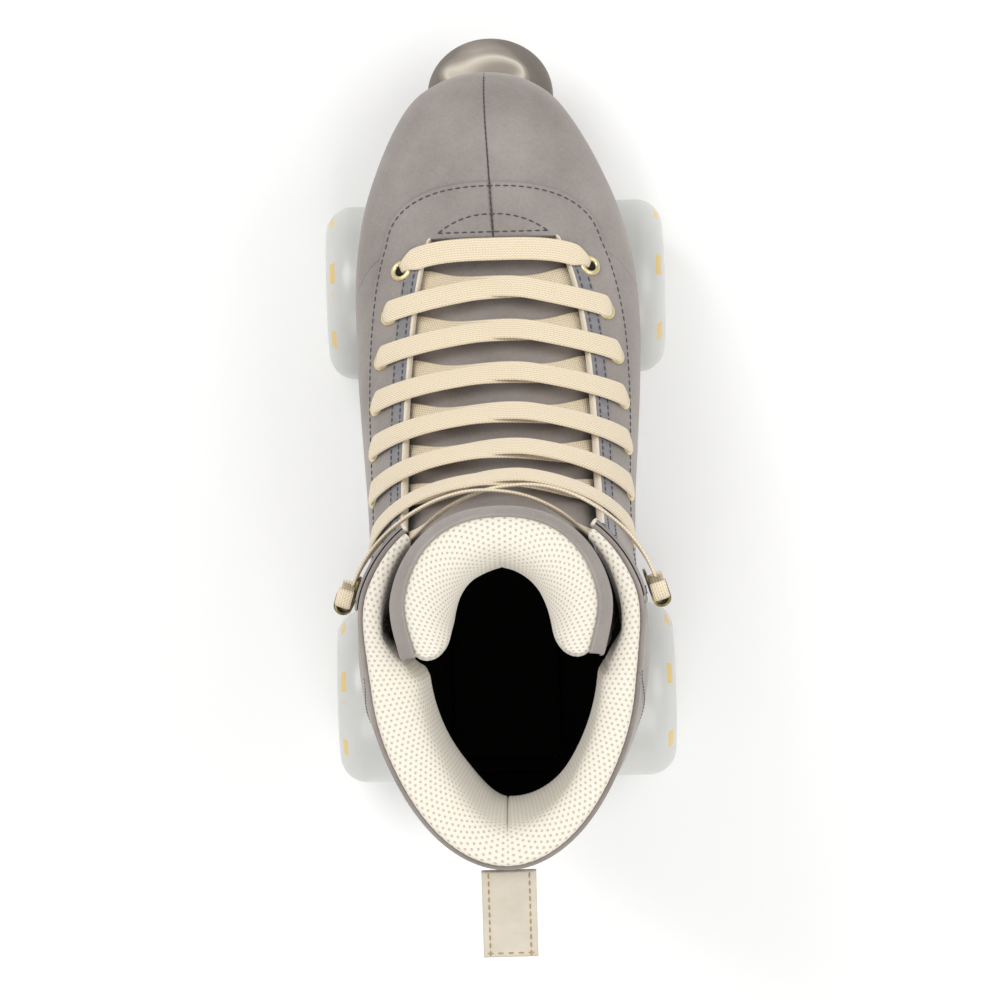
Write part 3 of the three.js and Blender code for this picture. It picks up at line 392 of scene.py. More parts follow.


# Black brushed cloth, glued to the leather's inner face: the footbed's own dark cloth, and
# elsewhere painted shade standing in for the unlit inside of the boot.
felt_and_painted_shade = speckled("shadowed_felt", "#0d0a08", "#1d1815", 800, Roughness=1.0)
# Every inner face of the leather takes the dark felt: painted shade for the unlit inside of the
# boot.
painted_shade_inside = (felt_and_painted_shade, lambda mesh, face: True)
for side, hand in HANDS:
    points, faces, uv = shell(vamp_map(side), 0.0, -LEATHER, (120, 95), (60, 50), 0.22)
    toe_half = piece_of(f"vamp_leather_{hand}", points, faces, nubuck, uv=uv, inner=painted_shade_inside)
    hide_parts(f"vamp_{hand}")
    points, faces, uv = shell(quarter_map(side), 0.0, -LEATHER, (190, 100), (84, 48), 0.22)
    flank = piece_of(f"quarter_leather_{hand}", points, faces, nubuck, uv=uv, inner=painted_shade_inside)
    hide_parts(f"quarter_{hand}")
points, faces, uv = shell(counter_map, 0.0, -LEATHER, (130, 160), (60, 90), 0.5)
counter = piece_of("heel_counter_leather", points, faces, nubuck, uv=uv, inner=painted_shade_inside)
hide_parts("heel_counter")

# ---------------------------------------------------------------- eyelet facings
# A U of a second, 1.3 mm layer of the same leather, laid round the throat and up both fronts. It
# carries seven eyelets a side, and its inner edge is bound with cream tape.
OVERLAY = 1.3


def facing_map(side):
    bend = 0.28
    def place(a, b):
        f = np.clip(a / bend, 0, 1)
        g = np.clip((a - bend) / (1 - bend), 0, 1)
        in_u = mix(U_THROAT, U_TOP, g)
        in_t = np.where(a < bend, mix(SEAM, T_CORNER, f), t_gap(in_u))
        turn = math.pi / 2 * f
        out_u = U_OVERLAY + 1.15 * (1 - np.cos(turn)) + (U_TOP - U_OVERLAY - 1.15) * g
        wide = np.where(g > 0, 0.13 * (1 - np.exp(-(out_u - U_OVERLAY - 1.15) / 2.5)), 0)
        out_t = SEAM + (0.275 - SEAM) * np.sin(turn) + wide
        return mix(in_u, out_u, b), side * mix(in_t, out_t, b)
    return place


for side, hand in HANDS:
    points, faces, uv = shell(facing_map(side), OVERLAY, 0.55, (190, 24), (110, 22), 0.9)
    facing = piece_of(f"facing_leather_{hand}", points, faces, nubuck, uv=uv)
    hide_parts(f"eyestay_{hand}")

# Along each inner edge runs a cooler grey trim of split suede between two rows of stitches.
suede = speckled("split_suede", "#6f6d70", "#8d8a8b", 500, noise={"Detail": 4},
                 Roughness=0.85, Sheen_Weight=0.2)
for side, hand in HANDS:
    def trim_map(a, b, side=side):
        return facing_map(side)(mix(0.285, 0.998, a), mix(0.01, 0.3, b))
    points, faces, uv = shell(trim_map, OVERLAY + 0.3, OVERLAY - 0.2, (150, 6.5), (90, 8), 0.3)
    trim = piece_of(f"facing_trim_{hand}", points, faces, suede, uv=uv)

# Bound edges: woven cotton tape folded over the raw edge, a little shiny from its filling.
tape = speckled("cotton_tape", "#cfc2ab", "#f1e7d6", 1500, 0.4, Roughness=0.8, Sheen_Weight=0.2)


def sweep_along(path, out, width, height, sides=12, squareness=2.0, taper=None):
    """Points, faces and UV of a bar of oval section along a path, its flat side facing `out`."""
    path, out = np.asarray(path, float), np.asarray(out, float)
    way = np.gradient(path, axis=0)
    way /= np.linalg.norm(way, axis=1, keepdims=True)
    across = np.cross(out, way)
    across /= np.linalg.norm(across, axis=1, keepdims=True)
    up = np.cross(way, across)
    angle = np.arange(sides) * 2 * np.pi / sides
    c, s = np.cos(angle), np.sin(angle)
    x = np.sign(c) * np.abs(c) ** (2 / squareness) * width / 2
    y = np.sign(s) * np.abs(s) ** (2 / squareness) * height / 2
    size = np.ones(len(path)) if taper is None else np.asarray(taper)
    points = (path[:, None] + across[:, None] * (x * size[:, None])[..., None]
              + up[:, None] * y[None, :, None])
    count = len(path)
    faces = []
    for i in range(count - 1):
        for j in range(sides):
            k = (j + 1) % sides
            faces.append([i * sides + j, i * sides + k, (i + 1) * sides + k, (i + 1) * sides + j])
    faces.append(list(range(sides)))
    faces.append([(count - 1) * sides + j for j in range(sides)])
    run = np.concatenate([[0], np.cumsum(np.linalg.norm(np.diff(path, axis=0), axis=1))])
    uv = np.stack(np.broadcast_arrays(x[None, :], run[:, None]), -1)
    return points.reshape(-1, 3), faces, uv.reshape(-1, 2) / 1000


def stacked(parts):
    """Several point and face lists as one."""
    points, faces, uvs, start = [], [], [], 0
    for some, its_faces, uv in parts:
        points.append(some)
        uvs.append(uv)
        faces += [[start + i for i in face] for face in its_faces]
        start += len(some)
    return np.concatenate(points), faces, np.concatenate(uvs)


for side, hand in HANDS:
    a = np.linspace(0.27, 1, 130)
    u, t = facing_map(side)(a, np.full_like(a, 0.0))
    path, out = skin(u, t, 0.1)
    binding = piece_of(f"facing_binding_{hand}", *sweep_along(path, out, 1.3, 3.2, 12)[:2], tape)

# ---------------------------------------------------------------- sewing
# Every seam and edge is sewn with bonded navy thread, three to four stitches to the centimetre
# on the facings. Each stitch is a short fat grain of thread that dips into the leather at its
# ends.
thread = speckled("bonded_nylon_thread", "#2c2d36", "#50515c", 2500, noise={"Detail": 1},
                  Roughness=0.55)

sewing = bpy.data.node_groups.new("stitch_run", "GeometryNodeTree")
sewing.interface.new_socket("Seam", in_out="INPUT", socket_type="NodeSocketGeometry")
SEWING_INPUTS = {}
for label, kind, value in (("Pitch", "NodeSocketFloat", 0.0028),
                           ("Stitch Length", "NodeSocketFloat", 0.0021),
                           ("Thread", "NodeSocketFloat", 0.0006),
                           ("Colour", "NodeSocketMaterial", thread)):
    socket = sewing.interface.new_socket(label, in_out="INPUT", socket_type=kind)
    socket.default_value = value
    SEWING_INPUTS[label] = socket.identifier
sewing.interface.new_socket("Stitches", in_out="OUTPUT", socket_type="NodeSocketGeometry")
given = add(sewing, "NodeGroupInput").outputs
line = add(sewing, "GeometryNodeMeshToCurve", {"Mesh": given["Seam"]})
even = add(sewing, "GeometryNodeResampleCurve",
           {"Curve": line.outputs[0], "Length": given["Pitch"]}, mode="LENGTH")
grain = add(sewing, "GeometryNodeMeshUVSphere", {"Segments": 6, "Rings": 5, "Radius": 0.5})
shape = add(sewing, "ShaderNodeCombineXYZ",
            {"X": given["Thread"], "Y": given["Thread"], "Z": given["Stitch Length"]})
grain = add(sewing, "GeometryNodeTransform",
            {"Geometry": grain.outputs["Mesh"], "Scale": shape.outputs[0]})
way = add(sewing, "GeometryNodeInputTangent")
turn = add(sewing, "FunctionNodeAlignRotationToVector", {"Vector": way.outputs[0]}, axis="Z")
sewn = add(sewing, "GeometryNodeInstanceOnPoints",
           {"Points": even.outputs[0], "Instance": grain.outputs[0], "Rotation": turn.outputs[0]})
real = add(sewing, "GeometryNodeRealizeInstances", {"Geometry": sewn.outputs[0]})
done = add(sewing, "GeometryNodeSetMaterial",
           {"Geometry": real.outputs[0], "Material": given["Colour"]})
add(sewing, "NodeGroupOutput", {"Stitches": done.outputs[0]})


def frozen(carrier):
    """The evaluated result of a piece's modifiers as its plain mesh."""
    bpy.context.view_layer.update()
    finished = carrier.evaluated_get(bpy.context.evaluated_depsgraph_get())
    result = bpy.data.meshes.new_from_object(finished)
    carrier.modifiers.clear()
    carrier.data = result
    result.polygons.foreach_set("use_smooth", [True] * len(result.polygons))
    return carrier


def sew(name, runs, colour, pitch=2.8, length=2.1, thickness=0.6, body="boot_and_plate"):
    """Stitches along runs of points given in millimetres."""
    points, edges = [], []
    for run in runs:
        edges += [(len(points) + i, len(points) + i + 1) for i in range(len(run) - 1)]
        points += ((np.asarray(run) + SHIFT) / 1000).tolist()
    mesh = bpy.data.meshes.new(name)
    mesh.from_pydata(points, edges, [])
    seam = bpy.data.objects.new(name, mesh)
    scene.collection.objects.link(seam)
    needle = seam.modifiers.new("sewing", "NODES")
    needle.node_group = sewing
    for label, value in (("Pitch", pitch / 1000), ("Stitch Length", length / 1000),
                         ("Thread", thickness / 1000), ("Colour", colour)):
        needle[SEWING_INPUTS[label]] = value
    frozen(seam)
    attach(seam, body)
    return seam


def seam_on(surface_map, a, b, lift):
    u, t = surface_map(np.asarray(a, float), np.asarray(b, float))
    return skin(u, t, lift)[0]


runs = []
full = np.linspace(0, 1, 160)
for side in (-1, 1):
    face = facing_map(side)
    top = OVERLAY + 0.08
    runs.append(seam_on(face, full, np.full(160, 0.91), top))
    late = np.linspace(0.3, 0.995, 120)
    runs.append(seam_on(face, late, np.full(120, 0.085), top + 0.3))
    runs.append(seam_on(face, late, np.full(120, 0.26), top + 0.3))
    down = np.linspace(0.03, 0.995, 120)
    quarter = quarter_map(side)
    runs.append(seam_on(quarter, mix(0.45, 0.99, down), np.full(120, 0.972), 0.08))
arch = np.linspace(-1, 1, 60)
runs.append(skin(6.42 - 0.3 * (1 - arch ** 2), arch * 0.108, OVERLAY + 0.06)[0])
runs.append(skin(np.full(60, 6.45), arch * 0.108, OVERLAY + 0.06)[0])
stitching = sew("upper_stitching", runs, thread)
ridge = np.linspace(1.6, 6.45, 90)
runs = [skin(ridge, np.zeros(90), np.where(ridge > U_OVERLAY, OVERLAY + 0.05, 0.05))[0]]
toe_seam = sew("toe_seam_stitching", runs, thread, pitch=2.1, length=1.85, thickness=0.5)

# ---------------------------------------------------------------- eyelets
# Fourteen pressed brass eyelets, lacquered a pale straw colour, rolled over the facing.
straw_brass = speckled("lacquered_brass", "#bfae7e", "#efe3b8", 400, noise={"Detail": 3},
                       Metallic=0.85, Roughness=0.38)

EYELET_ROWS = 7


def eyelet_place(row):
    half = 43.3 - 10.3 * (1 - row / (EYELET_ROWS - 1)) ** 3
    near, far = 4.0, 14.5
    for _ in range(40):
        u = np.array((near + far) / 2)
        if on_last(u, t_at_width(u, half))[1] > 82 - 16 * row:
            near = float(u)
        else:
            far = float(u)
    return near, float(t_at_width(np.array(near), half))


EYELETS = [eyelet_place(row) for row in range(EYELET_ROWS)]


def turned_piece(profile, origin, axis, segments=48):
    """Points, faces and UV of a closed profile of (radius, height) turned round an axis."""
    axis = Vector(axis).normalized()
    base = np.array(Vector((0, 0, 1)).rotation_difference(axis).to_matrix())
    profile = np.asarray(profile, float)
    count = len(profile)
    angle = np.arange(segments) * 2 * np.pi / segments
    ring = np.stack([np.cos(angle), np.sin(angle), np.zeros(segments)], -1)
    points = ring[:, None] * profile[None, :, :1] + np.array([0, 0, 1.0]) * profile[None, :, 1:]
    points = points.reshape(-1, 3) @ base.T + np.asarray(origin, float)
    faces = []
    for i in range(segments):
        for j in range(count):
            k = (j + 1) % count
            m = (i + 1) % segments
            faces.append([i * count + j, m * count + j, m * count + k, i * count + k])
    run = np.concatenate([[0], np.cumsum(np.linalg.norm(np.diff(profile, axis=0), axis=1))]) / 1000
    uv = np.stack([np.broadcast_to((angle / (2 * np.pi))[:, None], (segments, count)),
                   np.broadcast_to(run[None], (segments, count))], -1)
    return points, faces, uv.reshape(-1, 2)


rim = [(2.1, -0.4), (2.1, 0.5), (2.4, 1.0), (2.9, 1.25), (3.5, 1.1), (3.9, 0.6), (4.0, 0.2),
       (3.9, -0.4)]
# Each eyelet's hole is filled with a dark felt disc: painted shade in the hole.
bore_shade_plug = [(0.01, -0.6), (0.01, 0.15), (2.15, 0.15), (2.15, -0.6)]
rims, bore_shade_plugs = [], []
for side in (-1, 1):
    for u, t in EYELETS:
        seat, out = skin(u, side * t, OVERLAY)
        rims.append(turned_piece(rim, seat, out, 28))
        bore_shade_plugs.append(turned_piece(bore_shade_plug, seat, out, 20))
eyelets = piece_of("eyelets", *stacked(rims)[:2], straw_brass)
eyelet_shade_plugs = piece_of("eyelet_shadows", *stacked(bore_shade_plugs)[:2], felt_and_painted_shade)

# ---------------------------------------------------------------- lace
# One flat woven cotton lace, 8.8 mm wide: a straight bar through the first pair of eyelets, then
# crossing up the throat, out over each facing and round into the next eyelet, to the two hooks.
LACE_W, LACE_T = 8.8, 1.2
OVER, UNDER = OVERLAY + 1.6, -LEATHER - 2.0
HOOK_U, HOOK_T = 19.3, 0.385
CHEVRON, YARN = 0.0011, 0.0009

# Flat cotton braid: bleached cream yarns laid in chevrons about 1.1 mm apart, ochre in the hollows.
braid, tree, surface = new_material("woven_cotton_braid", Roughness=0.85, Sheen_Weight=0.3)
cloth = add(tree, "ShaderNodeUVMap", uv_map="cloth").outputs[0]
axes = add(tree, "ShaderNodeSeparateXYZ", {0: cloth})
beside = add(tree, "ShaderNodeMath", {0: axes.outputs[0]}, operation="ABSOLUTE")
slope = add(tree, "ShaderNodeMath", {0: beside.outputs[0], 1: axes.outputs[1]}, operation="ADD")
phase = add(tree, "ShaderNodeMath", {0: slope.outputs[0], 1: 2 * math.pi / CHEVRON},
            operation="MULTIPLY")
weave = add(tree, "ShaderNodeMath", {0: phase.outputs[0]}, operation="SINE")
cross = add(tree, "ShaderNodeMath", {0: beside.outputs[0], 1: 2 * math.pi / YARN},
            operation="MULTIPLY")
cross = add(tree, "ShaderNodeMath", {0: cross.outputs[0]}, operation="COSINE")
yarn = add(tree, "ShaderNodeMath", {0: weave.outputs[0], 1: cross.outputs[0]}, operation="ADD")
level = add(tree, "ShaderNodeMapRange",
            {"Value": yarn.outputs[0], "From Min": -2.0, "From Max": 1.2})
ramp = add(tree, "ShaderNodeValToRGB", {"Fac": level.outputs[0]})
for element, tone in zip(ramp.color_ramp.elements, ("#cbb78f", "#eddfc8")):
    element.color = to_linear(tone)
tree.links.new(ramp.outputs["Color"], surface.inputs["Base Color"])
bump = add(tree, "ShaderNodeBump",
           {"Height": level.outputs[0], "Strength": 0.5, "Distance": 0.0004})
tree.links.new(bump.outputs["Normal"], surface.inputs["Normal"])


def strand(start, end, height, taper, steps=70, reach=0.0, bow=0.0):
    """A stretch of lace over the last; `reach` carries it past its end, in turns."""
    f = np.linspace(0, 1, steps)
    u = mix(start[0], end[0], f) - bow * (1 - np.abs(2 * f - 1) ** 3)
    t = mix(start[1], end[1] + math.copysign(reach, end[1]), f)
    path, out = skin(u, t, height(f))
    return sweep_along(path, out, LACE_W, LACE_T, 16, 4.5, taper(f))


def folded_end(f, length=0.055):
    return np.sqrt(np.clip(1 - (np.clip((f - 1 + length) / length, 0, 0.985)) ** 2, 0, 1))


first = EYELETS[0]
strands = [strand((first[0] - 0.04, -first[1]), (first[0] - 0.04, first[1]),
                  lambda f: OVER - 1.6 * np.abs(2 * f - 1) ** 14,
                  lambda f: mix(0.42, 1, smooth(np.minimum(f, 1 - f) * 9)), bow=0.27)]
for side in (-1, 1):
    for row, place in enumerate(EYELETS):
        start = (place[0], side * place[1])
        lift = -0.75 * side
        if row + 1 < EYELET_ROWS:
            onward = (EYELETS[row + 1][0], -side * EYELETS[row + 1][1])
            height = lambda f, lift=lift: (
                mix(UNDER, OVER, smooth((f - 0.2) / 0.36)) + lift * np.exp(-((f - 0.5) / 0.16) ** 2)
                - (OVER - OVERLAY - 0.5) * smooth((f - 0.94) / 0.06))
            taper = lambda f: mix(0.6, 1, smooth(f * 7)) * folded_end(f)
            strands.append(strand(start, onward, height, taper, reach=0.022))
        else:
            onward = (HOOK_U, -side * (HOOK_T - 0.01))
            height = lambda f, lift=lift: lift + mix(
                UNDER, OVERLAY + 3.6, smooth((f - 0.15) / 0.45))
            taper = lambda f: mix(0.7, 0.5, smooth((f - 0.6) / 0.4))
            strands.append(strand(start, onward, height, taper))


def hook_axes(side):
    seat, out = skin(HOOK_U, side * HOOK_T, OVERLAY)
    back = skin(HOOK_U, side * (HOOK_T + 0.02))[0] - skin(HOOK_U, side * HOOK_T)[0]
    back -= out * np.dot(back, out)
    back /= np.linalg.norm(back)
    return seat, out, back, np.cross(back, out)


for side in (-1, 1):
    seat, out, back, third = hook_axes(side)
    angle = np.radians(np.linspace(-125, 125, 40))
    radial = np.cos(angle)[:, None] * back + np.sin(angle)[:, None] * third
    middle = seat + out * 4.2 + back * 1.2
    strands.append(sweep_along(middle + radial * 4.6, radial, LACE_W * 0.62, 1.1, 14, 4))
points, faces, uv = stacked(strands)
lace = piece_of("woven_lace", points, faces, braid, uv=uv)
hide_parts("lace")

# ---------------------------------------------------------------- carried-over hardware
# Pieces whose shape is settled by the solid model get their sharp machined or moulded edges broken,
# as a real casting's, pressing's or nut's are.
BODIES = frame["record"]["behaviour"]["bodies"]
BODY_OF = {node: body for body, nodes in BODIES.items() for node in nodes}


def edge_broken(node, name, material, width=0.35, steps=2):
    """A copy of a solid with its edges rounded, standing in for it."""
    work = bmesh.new()
    work.from_mesh(frame["nodes"][node].data)
    bmesh.ops.remove_doubles(work, verts=work.verts, dist=1e-6)
    bmesh.ops.dissolve_limit(work, angle_limit=math.radians(1), verts=work.verts, edges=work.edges)
    bmesh.ops.recalc_face_normals(work, faces=work.faces)
    sharp = [e for e in work.edges
             if len(e.link_faces) == 2 and e.calc_face_angle(0) > math.radians(28)]
    bmesh.ops.bevel(work, geom=sharp, offset=width / 1000, segments=steps, profile=0.5,
                    affect="EDGES", clamp_overlap=True)
    mesh = bpy.data.meshes.new(name)
    work.to_mesh(mesh)
    work.free()
    mesh.polygons.foreach_set("use_smooth", [True] * len(mesh.polygons))
    mesh.set_sharp_from_angle(angle=math.radians(32))
    mesh.materials.append(material)
    obj = bpy.data.objects.new(name, mesh)
    scene.collection.objects.link(obj)
    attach(obj, BODY_OF[node])
    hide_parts(node)
    return obj


# Speed hooks: pressed brass, oiled dark and worn bright in patches.
old_brass = speckled("oiled_brass", "#4d4630", "#a39465", 260, span=(0.38, 0.66),
                     noise={"Detail": 4}, Metallic=1.0, Roughness=0.42)
for hand in ("medial", "lateral"):
    edge_broken(f"lace_hook_{hand}", f"speed_hook_{hand}", old_brass, 0.25)

# ---------------------------------------------------------------- tongue
# A padded tongue sewn in at the throat: taupe leather outside, spacer mesh over foam inside, its
# thick top edge rolled over and standing above the shaft.
U_ROOT = 5.95


def tongue_map(a, b):
    across = 2 * b - 1
    u = mix(U_ROOT, U_TONGUE - 0.5 * across ** 2, a)
    return u, across * mix(0.22, 0.49, smooth((u - 7) / 9))


def tongue_height(u, t):
    root = smooth((u - U_ROOT - 0.3) / 0.5)
    spread_open = smooth((u - 13) / 4)
    curl = spread_open * 8.2 * (np.abs(t) / 0.5) ** 1.5
    return -mix(LEATHER + 1, LEATHER + LACE_T + 2.2, root) - curl


TONGUE_LEATHER, TONGUE_LENGTH, ROLL = 1.5, 170, 7.0


def over_the_top(a):
    """How far the leather curls in over the roll at the tongue's top edge."""
    left = np.clip((1 - a) * TONGUE_LENGTH, 0.12 * ROLL, ROLL)
    return ROLL - np.sqrt(ROLL ** 2 - (ROLL - left) ** 2)


points, faces, uv = shell(
    tongue_map, lambda a, b, u, t: tongue_height(u, t) - over_the_top(a),
    lambda a, b, u, t: tongue_height(u, t) - over_the_top(a) - TONGUE_LEATHER,
    (TONGUE_LENGTH, 95), (130, 56), 0.7)
tongue = piece_of("tongue_leather", points, faces, nubuck, uv=uv)
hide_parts("tongue")

# Spacer mesh: a knitted polyester face over foam, with small holes in a honeycomb about 2 mm
# apart that look like dark dots, and a soft sheen on the ribs between.
spacer, tree, surface = new_material("spacer_mesh", Roughness=0.88, Sheen_Weight=0.35)
cloth = add(tree, "ShaderNodeUVMap", uv_map="cloth").outputs[0]
HOLE_ROW, rings = 0.0018, None
for turn_by in (0, 60, 120):
    way = (math.cos(math.radians(turn_by)), math.sin(math.radians(turn_by)), 0)
    lane = add(tree, "ShaderNodeVectorMath", {0: cloth, 1: way}, operation="DOT_PRODUCT")
    phase = add(tree, "ShaderNodeMath", {0: lane.outputs["Value"], 1: 2 * math.pi / HOLE_ROW},
                operation="MULTIPLY")
    wave = add(tree, "ShaderNodeMath", {0: phase.outputs[0]}, operation="COSINE")
    rings = wave if rings is None else add(
        tree, "ShaderNodeMath", {0: rings.outputs[0], 1: wave.outputs[0]}, operation="ADD")
hole = add(tree, "ShaderNodeMapRange", {"Value": rings.outputs[0], "From Min": 0.9, "From Max": 2.6,
                                        "To Min": 1.0, "To Max": 0.0})
ramp = add(tree, "ShaderNodeValToRGB", {"Fac": hole.outputs[0]})
for element, tone in zip(ramp.color_ramp.elements, ("#bdb3a3", "#dfd8ca")):
    element.color = to_linear(tone)
tree.links.new(ramp.outputs["Color"], surface.inputs["Base Color"])
bump = add(tree, "ShaderNodeBump", {"Height": hole.outputs[0], "Strength": 0.6, "Distance": 0.0005})
tree.links.new(bump.outputs["Normal"], surface.inputs["Normal"])


def pad_depth(u, t):
    across = np.abs(t) / 0.49
    full = 16.5 + 4.5 * np.sin(np.pi * across ** 0.85) + 3.5 * across ** 4
    return mix(4, full, smooth((u - 12.5) / 7.5))


def pad_rolls(u, t):
    outer_roll = np.minimum(pad_depth(u, t) * 0.49, ROLL)
    return outer_roll, pad_depth(u, t) - 0.15 - outer_roll


points, faces, uv = shell(
    tongue_map, lambda a, b, u, t: tongue_height(u, t) - TONGUE_LEATHER - 0.1,
    lambda a, b, u, t: tongue_height(u, t) - TONGUE_LEATHER - pad_depth(u, t),
    (TONGUE_LENGTH, 95), (130, 70), pad_rolls)
# Faces on the pad's inner side below 235 mm take the dark felt: painted shade down inside the boot.
deep = (felt_and_painted_shade, lambda mesh, face: mesh.vertices[face.vertices[0]].co.z < 0.235)
tongue_pad = piece_of("tongue_pad", points, faces, spacer, uv=uv, inner=deep)
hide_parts("tongue_padding")

# ---------------------------------------------------------------- collar and linings
# The collar is foam under the same spacer mesh, thickest behind the ankle, quilted in at the back
# and at both side seams. The foot's lining is brushed cloth over a fibre board, made near-black as
# painted shade in the unlit shaft, as is the collar's inner face low down.
def collar_map(a, b):
    around = np.abs(1 - 2 * b)
    u = mix(U_HEEL + 0.35, U_TOP + 0.4, a)
    t = mix(1, t_gap(u) + 0.006, around)
    return u, np.where(b < 0.5, t, 2 - t)


def collar_depth(u, turn):
    t = np.abs(np.where(turn > 1, 2 - turn, turn))
    front = mix(2.6, 5.2, smooth((t - 0.2) / 0.2))
    fullness = mix(1, np.where(turn > 1, 1.2, 0.8), smooth((1 - t) / 0.25))
    ankle = fullness * (mix(3, 17, smooth((u - 15.6) / 3.4)) - 4 * smooth((u - 19.6) / 1.4))
    depth = mix(front, np.maximum(front, ankle), smooth((t - 0.44) / 0.1))
    seam = np.exp(-((t - 0.515) / 0.006) ** 2) + 1.4 * np.exp(-((1 - t) / 0.006) ** 2)
    return depth - np.minimum(seam, depth * 0.4)


def collar_rolls(u, t):
    outer_roll = np.minimum(collar_depth(u, t) * 0.48, 2.6)
    return outer_roll, collar_depth(u, t) + 0.85 - outer_roll


points, faces, uv = shell(
    collar_map, -LEATHER - 0.1, lambda a, b, u, t: -LEATHER - 1.0 - collar_depth(u, t),
    (90, 300), (70, 210), collar_rolls)
# Faces on the collar's inner side below 196 mm take the dark felt: painted shade down inside the
# shaft.
deep = (felt_and_painted_shade, lambda mesh, face: mesh.vertices[face.vertices[0]].co.z < 0.196)
collar = piece_of("padded_collar", points, faces, spacer, uv=uv, inner=deep)
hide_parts("collar_lining")

# The side linings are dark felt: painted shade for the unlit inside of the boot.
for side, hand in HANDS:
    def lining_map(a, b, side=side):
        return mix(5.95, U_HEEL + 0.15, a), side * mix(mix(0.34, 0.43, smooth(a * 2)), 0.62, b)
    points, faces, uv = shell(lining_map, -LEATHER - 1.8, -LEATHER - 4.0, (150, 45), (40, 20), 0.5)
    lining = piece_of(f"foot_lining_{hand}", points, faces, felt_and_painted_shade, uv=uv)
    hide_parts(f"lining_{hand}")
# The toe lining is dark felt too: painted shade.
points, faces, uv = shell(lambda a, b: (mix(0.9, 5.85, a), mix(-0.62, 0.62, b)),
                          -LEATHER - 1.2, -LEATHER - 3.4, (70, 130), (24, 40), 0.5)
toe_cloth = piece_of("toe_lining_cloth", points, faces, felt_and_painted_shade, uv=uv)
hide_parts("toe_lining")

# A dark felt patch inside the heel, over the gap where the rubber beneath would catch light:
# painted shade.
points, faces, uv = shell(lambda a, b: (mix(13.8, U_HEEL + 0.55, a), mix(0.84, 1.16, b)),
                          -LEATHER - 0.2, -LEATHER - 1.0, (25, 40), (16, 20), 0.2)
heel_shade_patch = piece_of("heel_shade_cloth", points, faces, felt_and_painted_shade, uv=uv)

# ---------------------------------------------------------------- sole, heel, board and footbed
# A 6 mm rubber outsole follows the foot, a stacked heel block levels it on the plate, and inside
# lie the fibre board and a foam footbed.
SOLE_FRONT, SOLE_REAR, PLATE_TOP = 149.5, -121.0, 78.4
KNOTS = ((149.5, 36), (118, 40), (84, 45), (58, 44), (28, 38), (-8, 31), (-50, 31), (-121, 32))


def underside(y):
    return np.interp(y, SECTIONS[15:1:-1, 2], SECTIONS[15:1:-1, 3])


def sole_half(y):
    half = np.full_like(y, 31.0)
    for (y0, w0), (y1, w1) in zip(KNOTS[:-1], KNOTS[1:]):
        half = np.where((y <= y0) & (y >= y1), mix(w0, w1, smooth((y0 - y) / (y0 - y1))), half)
    toe, heel = np.clip((SOLE_FRONT - y) / 42, 0, 1), np.clip((y - SOLE_REAR) / 30, 0, 1)
    return half * np.sqrt(1 - (1 - toe) ** 2.2) * np.sqrt(1 - (1 - heel) ** 2.2) + 0.4


def slab(front, rear, under, top, ratio, rounding, cells=(90, 30)):
    """A sole-shaped slab with rounded edges."""
    a, b = np.broadcast_arrays(spread(cells[0], 250)[:, None], spread(cells[1], 70)[None, :])
    y = mix(front, rear, (1 - np.cos(np.pi * a)) / 2)
    wide = sole_half(y) * ratio
    x = -2.2 * smooth((y - 80) / 70) + (2 * b - 1) * wide
    from_edge = np.minimum(np.minimum(b, 1 - b) * 2 * wide, np.minimum(front - y, y - rear))
    f = 1 - np.clip(from_edge / rounding, 0, 1)
    drop = rounding * (1 - np.sqrt(1 - f ** 2))
    return closed(np.stack([x, y, top(y) - drop], -1), np.stack([x, y, under(y) + drop], -1))


def pebbled(name, dark, light, scale, relief, roughness):
    """A mottled material of two tones under a fine tooled or pebbled grain."""
    material, tree, surface = new_material(name, Roughness=roughness)
    where = add(tree, "ShaderNodeTexCoord").outputs["Object"]
    mottle = add(tree, "ShaderNodeTexNoise", {"Vector": where, "Scale": scale, "Detail": 5})
    ramp = add(tree, "ShaderNodeValToRGB", {"Fac": mottle.outputs["Fac"]})
    for element, tone in zip(ramp.color_ramp.elements, (dark, light)):
        element.color = to_linear(tone)
    tree.links.new(ramp.outputs["Color"], surface.inputs["Base Color"])
    tooling = add(tree, "ShaderNodeTexVoronoi", {"Vector": where, "Scale": 900})
    bump = add(tree, "ShaderNodeBump", {"Height": tooling.outputs["Distance"],
                                        "Strength": relief, "Distance": relief / 1000})
    tree.links.new(bump.outputs["Normal"], surface.inputs["Normal"])
    return material


# Moulded rubber: matt, with a fine tooled texture and a slight mottling.
gum = pebbled("moulded_rubber", "#c3baab", "#d8d0c3", 60, 0.2, roughness=0.72)
outsole = piece_of("rubber_outsole", *slab(SOLE_FRONT, SOLE_REAR, lambda y: underside(y) - 6.3,
                                           lambda y: underside(y) - 0.3, 1.0, 2.2), gum)
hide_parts("outsole")

# Between boot and outsole a rubber midsole takes up the curve of the boot's underside.
def midsole_grids(top_sink, low):
    a, b = np.broadcast_arrays(np.linspace(0, 1, 90)[:, None], np.linspace(0, 1, 31)[None, :])
    u = mix(1.2, U_HEEL - 0.05, a)
    reach = 1 - mix(mix(0.745, 0.83, smooth((u - 7) / 5)), 0.92, smooth((u - 13.2) / 2))
    boot = skin(u, 1 + reach * (2 * b - 1), -top_sink)[0]
    ground = boot.copy()
    ground[..., 2] = underside(boot[..., 1]) - low
    return ground, boot


